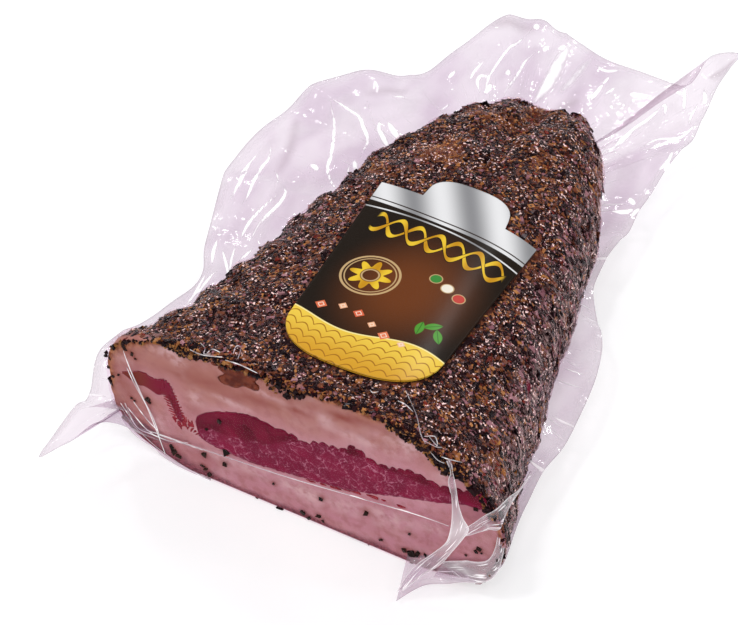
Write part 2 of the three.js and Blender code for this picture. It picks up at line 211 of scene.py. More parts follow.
def skin_normal(angle, y):
    """Outward direction of the skin: the cross product of its two slopes, by small differences."""
    y = np.clip(y, NORMAL_STEP, JOWL_LENGTH - TIP_GAP)
    around = skin_point(angle + NORMAL_TURN, y) - skin_point(angle - NORMAL_TURN, y)
    along = skin_point(angle, y + NORMAL_STEP) - skin_point(angle, y - NORMAL_STEP)
    return unit(np.cross(along, around))


def top_height(x, y):
    """Height of the skin's upper side over a place of the plan."""
    middle, half, _, _ = section_at(y)
    s = np.clip((x - middle) / half, -1, 1)
    return skin_height(s, y, True) - fold_depth(x, y)


def crust_lump(angle, y):
    """Low lumps of the crust: two sine waves that run slantwise round and along."""
    along = 2 * np.pi * y / LUMP_PITCH
    return CRUST_LUMP * sum(np.sin(a * angle + b * along + start) for a, b, start in LUMP_WAVES)


print("face corner heights:", skin_height(np.array([-0.9, 0.0, 0.9]), 0.0, True).round(1))

# %% [markdown]
# The label's outline comes early, because the crust and the film lie flat under it.
# It is a plain die-cut shape: straight sides, a round foot and an arched crest.

# %% Label sizes and outline
LABEL_LEFT = -21.0
LABEL_LEFT_LEAN = 0.085
LABEL_FOOT = 14.5
LABEL_SHOULDER = 38.0
LABEL_TOP = 110.0
LABEL_TOP_LEAN = -5.0
LABEL_ROUND_POWER = 2.6
CREST_RISE = 13.0
CREST_MIDDLE = 0.53
CREST_HALF_WIDTH = 0.26
CREST_POWER = 3.0
LABEL_GAP = 0.45
LABEL_THICKNESS = 0.6
LABEL_MARGIN = 5.0


def label_left(y):
    """x of the label's left edge, which leans out above the shoulder."""
    return LABEL_LEFT - LABEL_LEFT_LEAN * np.maximum(0, y - LABEL_SHOULDER)


def label_foot(share):
    """y of the round foot at a share of the width: the shoulder minus a superellipse."""
    return LABEL_SHOULDER - (LABEL_SHOULDER - LABEL_FOOT) * bow(2 * share - 1, LABEL_ROUND_POWER)


def label_head(share):
    """y of the head at a share of the width: a leaning line plus the crest's arch."""
    crest = CREST_RISE * bow((share - CREST_MIDDLE) / CREST_HALF_WIDTH, CREST_POWER)
    return LABEL_TOP + LABEL_TOP_LEAN * share + crest


def clear_of_label(x, y, margin):
    """0 under the label and 1 well outside it: a smooth step over the distance past its outline."""
    left, right = label_left(y) - margin, LABEL_RIGHT + margin
    share = np.clip((x - left) / (right - left), 0, 1)
    ends = np.maximum(label_foot(share) - margin - y, y - label_head(share) - margin)
    sides = np.maximum(left - x, x - right)
    return smooth_step(-margin / 2, margin / 2, np.maximum(ends, sides))


print("label from y =", LABEL_FOOT, "to", round(float(label_head(CREST_MIDDLE)), 1))

# %% [markdown]
# Meshes from arrays.
# Blender's own editing tools are slow for many thousands of corners, so each mesh is filled at once:
# corners from an array, and triangles from an array of corner numbers.

# %% Mesh helpers


def ring_triangles(rings, count):
    """Two triangles for each cell between rings of corners that close on themselves."""
    i = np.arange(rings - 1)[:, None] * count
    j = np.arange(count)[None, :]
    a, b = i + j, i + (j + 1) % count
    quads = np.stack([a, b, b + count, a + count], -1).reshape(-1, 4)
    return np.concatenate([quads[:, [0, 1, 2]], quads[:, [0, 2, 3]]])


def fan_triangles(hub, first, count):
    """Triangles from one middle corner to a ring."""
    j = np.arange(count)
    return np.stack([np.full(count, hub), first + j, first + (j + 1) % count], -1)


def sheet_triangles(columns, rows):
    """Two triangles for each cell of an open grid of corners, columns by rows."""
    i = np.arange(columns - 1)[:, None] * rows
    j = np.arange(rows - 1)[None, :]
    a = i + j
    quads = np.stack([a, a + rows, a + rows + 1, a + 1], -1).reshape(-1, 4)
    return np.concatenate([quads[:, [0, 1, 2]], quads[:, [0, 2, 3]]])


def new_piece(name, points, triangles, smooth=True):
    """An object whose mesh has these corners, in jowl millimetres, and these triangles."""
    mesh = bpy.data.meshes.new(name)
    mesh.vertices.add(len(points))
    mesh.vertices.foreach_set("co", in_frame(points).ravel())
    mesh.loops.add(triangles.size)
    mesh.loops.foreach_set("vertex_index", triangles.astype(np.int32).ravel())
    mesh.polygons.add(len(triangles))
    mesh.polygons.foreach_set("loop_start", np.arange(0, triangles.size, 3, dtype=np.int32))
    mesh.polygons.foreach_set("use_smooth", np.full(len(triangles), smooth))
    mesh.update(calc_edges=True)
    piece = bpy.data.objects.new(name, mesh)
    bpy.context.scene.collection.objects.link(piece)
    print(name, "has", len(triangles), "triangles")
    return piece


def paint(piece, name, values):
    """One number for each corner of the mesh, for its material to read."""
    layer = piece.data.attributes.new(name, "FLOAT", "POINT")
    layer.data.foreach_set("value", np.asarray(values, np.float32).ravel())


print("an open grid of 3 by 3 corners has", len(sheet_triangles(3, 3)), "triangles")

# %% [markdown]
# The cut fat and the skin under the crust.
# The jowl is one closed skin: rings shrink to a hub in the middle of the cut face, round over its rim,
# run back along the body and close at the tip. Rows are spaced by the sine of an angle at the round
# end, so that they crowd where the surface turns fastest. The rim is a quarter circle, because a knife
# leaves fat slightly rounded under tight film.

# %% Body grid
TURN = 2 * math.pi
AROUND = 330
FACE_RINGS = 58
BODY_ROWS = 112
END_ROWS = 64
RIM_ROUND = 1.3
RIM_ROWS = 5
UNDERSIDE_LIFT = 0.3
FACE_DIP = 0.35
FACE_DIP_POWER = 0.3
FACE_DIP_SIZE = 14.0
FACE_SETTLE = 6.0
CRAG = 0.6
CRAG_SIZE = 4.0
CRUST_FOOT = 3.0
CRUST_FULL = 12.0
CRUST_SUNK = 0.8
CRUST_EASE = 8.0


def crust_share(points, margin=LABEL_MARGIN):
    """How much crust covers a place: none low on the rind or within a margin of the label, and all
    of it elsewhere, with a smooth step between."""
    x, y, z = np.moveaxis(points, -1, 0)
    return smooth_step(CRUST_FOOT, CRUST_FULL, z) * clear_of_label(x, y, margin)


def crust_surface(angle, y, grow=0.0):
    """The skin moved out along its normal by low lumps, noise and a growth, drawn in behind the cut to
    leave room for the grains that will lie on it, and kept off the floor."""
    points = skin_point(angle, y)
    relief = crust_lump(angle, y) + CRAG * noise(*np.moveaxis(points, -1, 0), size=CRAG_SIZE, seed=1)
    relief = relief - CRUST_SUNK * smooth_step(0, CRUST_EASE, points[..., 1])
    points = points + skin_normal(angle, y) * (crust_share(points) * relief + grow)[..., None]
    points[..., 2] = np.maximum(points[..., 2], UNDERSIDE_LIFT)
    return points


def body_rows():
    """Distances behind the cut for each row, and how far the row is drawn in for the round rim."""
    turn = np.linspace(0, math.pi / 2, RIM_ROWS)
    straight = np.linspace(RIM_ROUND, ROUND_FROM * JOWL_LENGTH, BODY_ROWS)[1:]
    bend = np.sin(np.linspace(0, math.pi / 2, END_ROWS + 1)[1:-1]) ** (2 / ROUND_POWER)
    end = JOWL_LENGTH * (ROUND_FROM + (1 - ROUND_FROM) * bend)
    y = np.concatenate([RIM_ROUND * (1 - np.cos(turn)), straight, end])
    inset = np.concatenate([RIM_ROUND * (1 - np.sin(turn)), np.zeros(len(straight) + len(end))])
    return y, inset


def closed_body(grow=0.0, face_out=0.0, face_rings=FACE_RINGS):
    """Corners and triangles of the whole jowl: face rings are the rim drawn towards the middle by equal
    steps, then the rows of the skin, then the tip."""
    angle = np.arange(AROUND)[None, :] * TURN / AROUND
    y, inset = body_rows()
    rows = crust_surface(angle, y[:, None], grow)
    inward = unit(skin_normal(angle, y[:, None]) * [1, 0, 1])
    rows = rows - inward * inset[:, None, None]
    settled = smooth_step(0, FACE_SETTLE, y)[:, None]
    rows[..., 1] = y[:, None] + (rows[..., 1] - y[:, None]) * settled - face_out * (1 - settled)
    hub = np.array([section_at(0.0)[0], rows[0, 0, 1], WAIST_HEIGHT])
    share = (np.arange(1, face_rings) / face_rings)[:, None, None]
    face = hub + (rows[0][None] - hub) * share
    uneven = 0.5 + 0.5 * noise(face[..., 0], face[..., 2], size=FACE_DIP_SIZE, seed=3)
    dip = FACE_DIP * (1 - share[..., 0]) ** FACE_DIP_POWER * uneven
    face[..., 1] += dip * (face_out == 0)
    tip = np.array([[section_at(JOWL_LENGTH)[0], JOWL_LENGTH + np.mean(grow), ROUND_HEIGHT]])
    rings = np.concatenate([face, rows])
    points = np.concatenate([rings.reshape(-1, 3), hub[None], tip])
    last = len(rings) * AROUND
    triangles = np.concatenate([
        ring_triangles(len(rings), AROUND)[:, ::-1],
        fan_triangles(last, 0, AROUND),
        fan_triangles(last + 1, last - AROUND, AROUND)[:, ::-1],
    ])
    return points, triangles, len(face) * AROUND


body_points, body_triangles, face_corners = closed_body()
jowl_fat = new_piece("jowl_fat", body_points, body_triangles)

# %% [markdown]
# The lean meat that runs through the fat.
# Cheek muscle shows in the cut as a long wedge of small dark cells, and beside it as a thin hooked
# streak. Each is a solid that follows the jowl back and thins at its far end. Its outline is a smooth
# curve through a few stations with lobes added along the edge, because every muscle bundle bulges a
# little into the fat. The front stands a hair proud of the fat so that its edge stays crisp.

# %% Lean sizes and outline
# Each station of a lean outline is x, the height of its underside and that of its top.
LEAN_MUSCLE = [
    [-40.6, 28.6, 29.3], [-39.4, 22.5, 32.2], [-36, 20, 35.8], [-30.5, 19.6, 39.2], [-22, 19.2, 42.9],
    [-16, 19.6, 43.8], [-10, 20.6, 42.8], [-3, 21.8, 42.8], [1.5, 22.7, 41.2], [8, 23.8, 44.6],
    [15.5, 25.2, 45.8], [20.5, 26.6, 49.6], [26.5, 28.8, 46.6], [33, 31.6, 46.2], [42, 35.1, 48.8],
    [52, 38.7, 47.6], [60.5, 42.6, 50], [66, 43.6, 51], [70.6, 44.6, 46.5]
]
LEAN_STREAK = [
    [-68.9, 38.4, 39.4], [-66.5, 37.5, 40.3], [-63.3, 36.1, 42.2], [-60, 36.5, 43.6], [-57.9, 36.1, 42.8],
    [-55, 34.8, 42.6], [-52.2, 36.4, 44.0], [-50.1, 33.4, 42.4], [-48.6, 29.2, 38.4], [-47.3, 26.4, 34.4],
    [-46.4, 25.2, 30.6], [-45.8, 25.2, 27.4]
]
LEAN_REACH = 0.86
LEAN_END = 0.35
LEAN_PROUD = 0.12
LEAN_SWELL = 0.12
LEAN_ROWS = 18
LEAN_KEPT = 0.93
LEAN_COVER = 3.5
LEAN_RIM = 0.7
LEAN_FRONT_KEPT = 0.985
LEAN_EASE = 4.0
LEAN_THINNING = 4
LEAN_RINGS = 16
LOBE_WANDER = 0.35
LOBE_POWER = 0.55
LOBE_SUNK = 0.75
TOP_RAG = 0.9
UNDER_RAG = 1.1


def smooth_curve(points, count):
    """A curve through points: between two of them, the cubic whose slope at each is half the step from
    the point before it to the point after it."""
    p = np.asarray(points, float)
    t = np.linspace(0, len(p) - 1, count)
    i = np.minimum(t.astype(int), len(p) - 2)
    w = (t - i)[:, None]
    before, here = p[np.maximum(i - 1, 0)], p[i]
    there, after = p[i + 1], p[np.minimum(i + 2, len(p) - 1)]
    leave, arrive = (there - before) / 2, (after - here) / 2
    cubic = 2 * here - 2 * there + leave + arrive
    square = -3 * here + 3 * there - 2 * leave - arrive
    return ((cubic * w + square) * w + leave) * w + here


def lean_sheet(stations, columns, lobe, lobe_depth, lobed_from, ragged):
    """The lean's cut face as a grid, columns from left to right by rows from its underside to its top.
    The top edge has lobes square to it, the absolute sine of the length along it, deeper to the right."""
    lower = smooth_curve([[x, low] for x, low, _ in stations], columns)
    upper = smooth_curve([[x, top] for x, _, top in stations], columns)
    along = np.linspace(0, 1, columns)
    slope = unit(np.gradient(upper, axis=0))
    run = np.cumsum(np.linalg.norm(np.gradient(upper, axis=0), axis=1))
    x = upper[:, 0]
    turns = run / lobe + LOBE_WANDER * noise(run, 0, size=2 * lobe, seed=5)
    wave = np.abs(np.sin(math.pi * turns)) ** LOBE_POWER - LOBE_SUNK
    deep = lobe_depth * wave * smooth_step(*lobed_from, along)
    upper += np.stack([-slope[:, 1], slope[:, 0]], -1) * deep[:, None]
    upper += ragged * np.stack([noise(x, 3, size=TOP_RAG, seed=s) for s in (6, 7)], -1)
    lower += ragged * np.stack([noise(x, 9, size=UNDER_RAG, seed=s) for s in (8, 9)], -1)
    share = np.linspace(0, 1, LEAN_ROWS)[None, :, None]
    return lower[:, None] + (upper - lower)[:, None] * share


def lean_at(sheet, level, share):
    """The cut face carried back: widths shrink with the section, heights with its top, and the whole
    thins towards its own level by the fourth power of the distance. Behind the cut it keeps a few
    millimetres under the skin."""
    depth = LEAN_REACH * JOWL_LENGTH * share
    middle, half, top, closing = section_at(depth)
    face_middle, face_half, face_top, _ = section_at(0.0)
    thin = 1 + (LEAN_END - 1) * share ** LEAN_THINNING
    behind = smooth_step(0, LEAN_EASE, depth)
    widest = LEAN_FRONT_KEPT + (LEAN_KEPT - LEAN_FRONT_KEPT) * behind
    side = np.clip((sheet[..., 0] - face_middle) / face_half, -widest, widest)
    height = (level + (sheet[..., 1] - level) * thin) * top / face_top
    roof = skin_height(side, depth, True) - LEAN_RIM - (LEAN_COVER - LEAN_RIM) * behind
    height = np.minimum(ROUND_HEIGHT + (height - ROUND_HEIGHT) * closing, roof)
    return np.stack([middle + half * side, height], -1)


def sheet_rim(columns, rows):
    """Corner numbers round the edge of a grid: along the first row, up, back along the last row, down."""
    i, j = np.arange(columns), np.arange(rows)
    return np.concatenate([i[:-1] * rows, (columns - 1) * rows + j[:-1],
                           i[:0:-1] * rows + rows - 1, j[:0:-1]])


def lean_piece(name, sheet, level):
    """A closed solid: the front sheet with a slight swell, the sine of both its parameters, its rim
    carried back along the jowl in rings, and a back sheet."""
    columns, rows = sheet.shape[:2]
    rim = sheet_rim(columns, rows)
    sheet = lean_at(sheet, level, 0.0)
    swell = np.outer(np.sin(np.pi * np.linspace(0, 1, columns)), np.sin(np.pi * np.linspace(0, 1, rows)))
    front = np.stack([sheet[..., 0], -LEAN_PROUD - LEAN_SWELL * swell, sheet[..., 1]], -1).reshape(-1, 3)
    flat = sheet.reshape(-1, 2)
    layers = []
    for share in np.linspace(0, 1, LEAN_RINGS):
        place = lean_at(flat if share == 1 else flat[rim], level, share)
        depth = np.full(len(place), LEAN_REACH * JOWL_LENGTH * share)
        layers.append(np.stack([place[:, 0], depth, place[:, 1]], -1))
    points = np.concatenate([front, *layers])
    count, face = len(rim), sheet_triangles(columns, rows)
    numbers = [rim] + [len(front) + count * i + np.arange(count) for i in range(LEAN_RINGS - 1)]
    back = len(front) + count * (LEAN_RINGS - 1)
    numbers.append(back + rim)
    walls = [joined_rings(a, b) for a, b in zip(numbers[:-1], numbers[1:])]
    return new_piece(name, points, np.concatenate([face, *walls, face[:, ::-1] + back])), front


def joined_rings(first, second):
    """Triangles between two rings of equal count, given by their corner numbers."""
    a, b, c, d = first, np.roll(first, -1), np.roll(second, -1), second
    return np.concatenate([np.stack([a, c, b], -1), np.stack([a, d, c], -1)])


BATCHES = 24
FAR_FROM_EDGE = 9.0


def edge_distance(places, outline):
    """Distance from each place of the cut face to the nearest corner of an outline."""
    gap = np.empty(len(places))
    for part in np.array_split(np.arange(len(places)), BATCHES):
        away = places[part, None] - outline[None]
        gap[part] = np.sqrt((away ** 2).sum(-1).min(1))
    return gap


def on_front(piece, values, elsewhere):
    """Numbers for all corners of a lean piece: those of its front sheet, which come first, and one
    number for the rest."""
    numbers = np.full(len(piece.data.vertices), elsewhere)
    numbers[:len(values)] = values
    return numbers


# %% Lean pieces
# x and height along the border, below which the lean is veined; it browns towards the far left.
LOBE_BORDER = [
    [-40.5, 25.4], [-34, 27.9], [-29.7, 28.4], [-20.5, 29.7], [-13.7, 31.9], [-4.4, 38.6], [2.2, 41.7],
    [8, 45.3]
]
BORDER_WAVE = 0.8
BROWNED_FROM, BROWNED_TO = -54, -63
lean_pieces = {}
lean_outlines = []
for name, stations, columns, lobe, lobe_depth, lobed_from, ragged in (
        ("muscle_meat", LEAN_MUSCLE, 420, 4.1, 1.7, (0.1, 0.5), 0.3),
        ("streak_meat", LEAN_STREAK, 260, 1.25, 1.9, (0.3, 0.6), 0.4)):
    sheet = lean_sheet(stations, columns, lobe, lobe_depth, lobed_from, ragged)
    level = float(np.mean([[low, top] for _, low, top in stations]))
    piece, front = lean_piece(name, sheet, level)
    outline = sheet.reshape(-1, 2)[sheet_rim(columns, LEAN_ROWS)]
    x, _, z = front.T
    border = np.interp(x, *np.transpose(LOBE_BORDER)) + BORDER_WAVE * noise(x, 0, size=4, seed=6)
    paint(piece, "from_edge", on_front(piece, edge_distance(front[:, [0, 2]], outline), FAR_FROM_EDGE))
    paint(piece, "browned", on_front(piece, smooth_step(BROWNED_FROM, BROWNED_TO, x), 0.0))
    paint(piece, "veined", on_front(piece, smooth_step(0.5, -0.5, z - border), 0.0))
    lean_pieces[name] = piece
    lean_outlines.append(outline)

# %% [markdown]
# Browned island and red threads.
# Small bits of lean that the knife has caught are only skin deep. They could be painted, but a thin
# inlaid lens gives them a true edge: a closed outline in polar form, swelled a little, on a body that
# shrinks to nothing a few millimetres behind the cut.

# %% Inlays in the cut face
INLAY_PROUD = 0.1
INLAY_DEPTH = 3.0
INLAY_CORNERS = 72
INLAY_STEPS = 7
BLOB_ROUGH = 0.12
TRACED_ROUGH = 0.25
INLAY_CROWN = 1.02
ISLAND = [
    [-29.6, 63.2], [-25.8, 65.3], [-22.4, 65.6], [-19.1, 66.6], [-16.2, 66], [-15.2, 64], [-15.8, 62],
    [-14.6, 60.6], [-14.8, 58.4], [-17.7, 57.2], [-20.5, 57.4], [-23.4, 54.8], [-26, 54.6], [-29.3, 54.8],
    [-30.6, 56.6], [-28.6, 58.8], [-28.2, 60], [-30.2, 61.4]
]
COMB_PATH = [
    [-52.4, 40.8], [-50.8, 38.6], [-49.9, 36], [-49, 33], [-48, 30], [-47, 27.4], [-44.6, 25.6],
    [-41, 25.2], [-38, 24]
]
COMB_TEETH = 20
TOOTH_LENGTHS = (1.5, 1.0)
TOOTH_WIDTH = 0.36
TOOTH_OUT = 1.8
TOOTH_LEAN = 0.35


def blob(centre, size, tilt, fingers, finger_count, seed):
    """A closed outline: an ellipse turned by its tilt, its radius waved by a sine and by noise."""
    angle = np.arange(INLAY_CORNERS) * TURN / INLAY_CORNERS
    cos, sin = math.cos(tilt), math.sin(tilt)
    radius = 1 + fingers * np.sin(finger_count * angle + seed)
    radius = radius + BLOB_ROUGH * noise(np.cos(angle), np.sin(angle), seed=seed, size=0.4)
    x, z = size[0] * radius * np.cos(angle), size[1] * radius * np.sin(angle)
    return np.stack([centre[0] + x * cos - z * sin, centre[1] + x * sin + z * cos], -1)


def traced(points):
    """A closed outline through points, anticlockwise, as many corners as a blob's, a little ragged."""
    line = smooth_curve([*points, points[0]], INLAY_CORNERS + 1)[:-1]
    rough = [noise(*line.T, size=1.1, seed=seed) for seed in (15, 16)]
    return line[::-1] + TRACED_ROUGH * np.stack(rough, -1)


def inlay(outline):
    """A lens in the cut face: the outline drawn to a hub in front by equal steps, swelled by a quarter
    circle, and to a hub a few millimetres behind."""
    rim = np.stack([outline[:, 0], np.zeros(INLAY_CORNERS), outline[:, 1]], -1)
    hub = rim.mean(0)
    share = np.arange(1, INLAY_STEPS + 1)[:, None, None] / INLAY_STEPS
    back = np.array([0.0, 1.0, 0.0])
    front = hub + (rim - hub) * share - back * INLAY_PROUD * np.sqrt(INLAY_CROWN - share ** 2)
    inner = share[::-1][1:]
    behind = hub + (rim - hub) * inner + back * INLAY_DEPTH * (1 - inner)
    rings = np.concatenate([front, behind])
    points = np.concatenate([rings.reshape(-1, 3), [hub - back * INLAY_PROUD], [hub + back * INLAY_DEPTH]])
    last = len(rings) * INLAY_CORNERS
    triangles = np.concatenate([ring_triangles(len(rings), INLAY_CORNERS)[:, ::-1],
                                fan_triangles(last, 0, INLAY_CORNERS),
                                fan_triangles(last + 1, last - INLAY_CORNERS, INLAY_CORNERS)[:, ::-1]])
    return points, triangles


def joined(parts):
    """Several shapes as one: corners end to end, and corner numbers moved up to match."""
    points = np.concatenate([p for p, _ in parts])
    starts = np.cumsum([0] + [len(p) for p, _ in parts[:-1]])
    return points, np.concatenate([t + s for (_, t), s in zip(parts, starts)])


browned_island = new_piece("browned_island", *joined([
    inlay(traced(ISLAND)), inlay(blob((-31.6, 62.6), (1.3, 0.8), 0.2, 0.1, 2, 4))]))
# x, height, half length and half height of each thread.
RED_THREADS = [
    (4, 22.3, 1.7, 0.4), (8.6, 23.2, 1.2, 0.35), (13.3, 24.1, 2.2, 0.55), (17.6, 25.4, 1.3, 0.4),
    (21.3, 26.3, 2.0, 0.6), (27.7, 27.6, 2.2, 0.65), (31.6, 28.0, 0.9, 0.35), (38.1, 28.6, 1.6, 0.5),
    (-29, 17.5, 0.8, 0.5), (-42.6, 25.9, 1.2, 1.3), (-45.1, 25.4, 0.9, 1.9), (-47, 23.6, 0.8, 2.0),
    (-48.9, 25.6, 0.7, 1.6)
]
comb_line = smooth_curve(COMB_PATH, COMB_TEETH)
comb_slope = np.gradient(comb_line, axis=0)
comb = [blob(place + unit(np.array([-step[1], step[0]])) * side * TOOTH_OUT,
             (TOOTH_LENGTHS[i % 2], TOOTH_WIDTH), math.atan2(step[0], -step[1]) + TOOTH_LEAN * side,
             0.2, 3, i)
        for i, (place, step) in enumerate(zip(comb_line, comb_slope)) for side in (-1, 1)]
threads = [blob((x, z), (long, high), 0.12, 0.18, 3, i) for i, (x, z, long, high) in enumerate(RED_THREADS)]
red_threads = new_piece("red_threads", *joined([inlay(outline) for outline in comb + threads]))

# %% [markdown]
# Where the colours of the cut face change.
# A soft change of colour over centimetres doesn't need shader nodes of its own. It is worked out here
# for every corner as a number from 0 to 1, and the material only reads it: how creamy the fat is, how
# pale round the lean, where curing has stained it, and where crust begins.

# %% Paint the body's masks
# x, height, half width, half height and strength of each spot; x, height and size of each bit.
STAINS = [
    (16.5, 61.6, 5.5, 1.8, 0.8), (-0.5, 55.8, 3.6, 1.5, 0.7), (-12.6, 53.3, 6, 2, 0.35),
    (-35.7, 51, 8, 4.5, 0.4), (-46, 50.5, 8, 3.5, 0.3), (-53, 43.8, 4, 3, 0.3), (22, 63.9, 4, 1.5, 0.5),
    (-68, 30, 3, 6, 0.3), (-22, 51, 9, 4, 0.4), (-2, 60, 9, 3, 0.3), (73, 17, 5, 6, 0.4),
    (-9, 66, 6, 2, 0.4), (34, 63, 5, 2, 0.3), (-60, 14, 6, 5, 0.35), (-40, 10, 9, 3.5, 0.3),
    (-63, 44, 3, 6, 0.3), (-72, 40, 7, 12, 0.4), (-38, 33, 7, 4, 0.35)
]
PALE = [
    (-55, 60.5, 9, 3.5, 1.0), (-46, 56, 5, 3, 0.5), (-12.8, 57.5, 9, 2.0, 0.7), (8, 57.5, 6, 2.4, 0.5),
    (38, 60.5, 7, 3.5, 0.8), (-40.9, 24, 4, 3, 0.5), (-56, 20.5, 4, 5, 0.5), (-27.5, 15, 10, 3, 0.6),
    (5, 15, 20, 4, 0.6), (34, 21, 13, 4, 0.5), (-68.5, 47, 4, 4, 0.5), (56, 53, 6, 3, 0.6),
    (50, 24, 8, 3.5, 0.5), (-40, 42, 3, 6, 0.5), (-28, 46.4, 7, 1.6, 0.7), (22, 54, 12, 2.2, 0.6)
]
FACE_BITS = [
    (-67, 52.6, 2.6), (-64, 50.7, 1.8), (-62.8, 49, 1.3), (-73.4, 43.7, 1.2), (-74.2, 38.8, 1.2),
    (-72.8, 34.9, 1.5), (-70.2, 37, 1.1), (-59.2, 30.2, 2.1), (-58.4, 28.9, 1.6), (-51, 9.6, 2.3),
    (-49.9, 7.5, 2.6), (-48.4, 6.2, 2.1), (-37.5, 5.4, 1.8), (-36.2, 3.2, 2.1), (-38.8, 6.4, 1.6),
    (-37.8, 13, 2.1), (-28.8, 19.6, 2.7), (-29.7, 12.4, 2.4), (-30.9, 34.2, 2.7), (-36, 27.5, 1.5),
    (-10.5, 12.8, 1.5), (0.7, 3.8, 2.4), (3, 2, 2), (6.7, 5.4, 2.1), (8.5, 3.6, 1.5), (7.8, 15.1, 2.4),
    (25.2, 17.9, 2.9), (41.4, 16.3, 1.3), (39.6, 6.2, 2.4), (42.2, 6.4, 2.6), (44.6, 7.2, 2.6),
    (47.6, 8.4, 1.6), (30.8, 6.6, 1.6), (65.3, 43.4, 2.2), (67.1, 23.6, 1.8), (66, 21.4, 1.6),
    (68, 21.8, 1.3), (62.4, 17.4, 1.3), (-56, 12.2, 1.1), (-65.8, 27.4, 1.3), (-64.6, 26.6, 1.2)
]
# Cream gathers towards the upper left, honey along the top rim, and a darker speckled band runs along the
# lower one.
CREAM_FOOT, CREAM_FULL = 15, 72
CREAM_LEAN = 0.35
HONEY_REACH = 1.2
HONEY_POWER = 1.5
DARK_BAND_REACH = 3.6
DARK_BAND_POWER = 3
CRUST_START = 1.6
CRUST_BLEND = 1.2
BIT_HALO = 0.8
BIT_STAIN = 0.55
HALO_REACH = 3.5
x, y, z = body_points.T
on_face = np.arange(len(body_points)) < face_corners + AROUND * 2
on_face[-2] = True
gap = np.min([edge_distance(body_points[:, [0, 2]], outline) for outline in lean_outlines], axis=0)


def bells(spots):
    """The sum of bell curves over the face, each with its place, half width, half height and strength."""
    return sum(s * np.exp(-((x - a) / w) ** 2 - ((z - b) / h) ** 2) for a, b, w, h, s in spots)


rim_gap = edge_distance(body_points[:, [0, 2]], body_points[face_corners:face_corners + AROUND][:, [0, 2]])

creamy = smooth_step(CREAM_FOOT, CREAM_FULL, z - CREAM_LEAN * x)
paint(jowl_fat, "creamy", creamy + 0.12 * noise(x, z, size=12, seed=4))
paint(jowl_fat, "halo", np.exp(-gap / HALO_REACH) * on_face)
bit_stains = [(a, b, BIT_HALO * size, BIT_HALO * size, BIT_STAIN) for a, b, size in FACE_BITS]
stain = bells(STAINS) + bells(bit_stains) + 0.1 * noise(x, z, size=6, seed=5)
paint(jowl_fat, "stain", np.clip(stain, 0, 1) * on_face)
paint(jowl_fat, "pale", np.clip(bells(PALE) + 0.25 * noise(x, z, size=5, seed=7), 0, 1) * on_face)
honey_reach = HONEY_REACH + 1.0 * noise(x, z, size=6, seed=8) + 0.5 * smooth_step(-45, -65, x)
paint(jowl_fat, "honey", on_face * np.exp(-(rim_gap / honey_reach) ** HONEY_POWER) * smooth_step(20, 34, z))
# A darker speckled band along the lower rim of the face, widest to the left.
band = (DARK_BAND_REACH + 1.8 * noise(x, z, size=6, seed=9)) * (0.6 + 0.8 * smooth_step(-20, -50, x))
dark_rim = np.exp(-(rim_gap / band) ** DARK_BAND_POWER) * smooth_step(28, 14, z) * smooth_step(66, 56, x)
paint(jowl_fat, "dark_rim", on_face * dark_rim)
ragged_start = CRUST_START + 2.2 * noise(x, z, size=5, seed=6) + 2.5 * smooth_step(-40, -70, x)
side_share = (x - section_at(y)[0]) / np.maximum(1, section_at(y)[1])
pale_bed = smooth_step(0.0, -0.7, side_share) + smooth_step(0.75, 0.95, side_share)
pale_bed = pale_bed + smooth_step(150, 185, y) * noise(x, y, size=14, seed=10)
paint(jowl_fat, "pale_bed", np.clip(pale_bed, 0, 1))
paint(jowl_fat, "crust", smooth_step(0, CRUST_BLEND, y - ragged_start) * (~on_face))
paint(jowl_fat, "rind", smooth_step(CRUST_FOOT + 3, 1, z) * smooth_step(1, 4, y))
print("lean-to-fat distance runs up to", round(float(gap[on_face].max()), 1), "mm")

# %% [markdown]
# Cracked pepper.
# The crust is tens of thousands of broken peppercorns. Instances would be lighter, but the model has
# to carry them, so each grain is a small box with its eight corners knocked about, twelve triangles,
# and all grains of one kind are one mesh. They are laid by an additive two-number sequence, which
# spreads them evenly without clumps, through the running sum of the skin's area, so that every square
# centimetre gets its share.

# %% Grain tools
GOLDEN_STEPS = (0.7548776662, 0.5698402909)
BOX_CORNERS = np.array([[i, j, k] for i in (-1, 1) for j in (-1, 1) for k in (-1, 1)], float)
BOX_TRIANGLES = np.array([[0, 1, 3], [0, 3, 2], [4, 6, 7], [4, 7, 5], [0, 4, 5], [0, 5, 1],
                          [2, 3, 7], [2, 7, 6], [0, 2, 6], [0, 6, 4], [1, 5, 7], [1, 7, 3]])


def spread(count, weight, offset):
    """Places on a grid of weights: rows by their running sum, then columns within the row by theirs."""
    rows, columns = weight.shape
    steps = (offset + np.arange(1, count + 1)[:, None] * np.array(GOLDEN_STEPS)) % 1
    row_sum = np.cumsum(weight.sum(1)) / weight.sum()
    row = np.searchsorted(row_sum, steps[:, 0]).clip(0, rows - 1)
    before = np.where(row > 0, row_sum[row - 1], 0)
    down = (row + (steps[:, 0] - before) / np.maximum(1e-9, row_sum[row] - before)) / rows
    running = np.cumsum(weight, 1) / np.maximum(1e-12, weight.sum(1, keepdims=True))
    column = np.searchsorted((running + 2 * np.arange(rows)[:, None]).ravel(), steps[:, 1] + 2 * row)
    column = (column - row * columns).clip(0, columns - 1)
    left = np.where(column > 0, running[row, np.maximum(column - 1, 0)], 0)
    across = (column + (steps[:, 1] - left) / np.maximum(1e-9, running[row, column] - left)) / columns
    return down, across


GRAIN_TIP = 0.12
GRAIN_LOWEST = 0.1
GRAIN_LONG = (0.75, 1.15)
GRAIN_WIDE = (0.5, 0.9)
GRAIN_HIGH = (0.7, 1.1)
CORNER_MOVES = (0.45, 1.15)


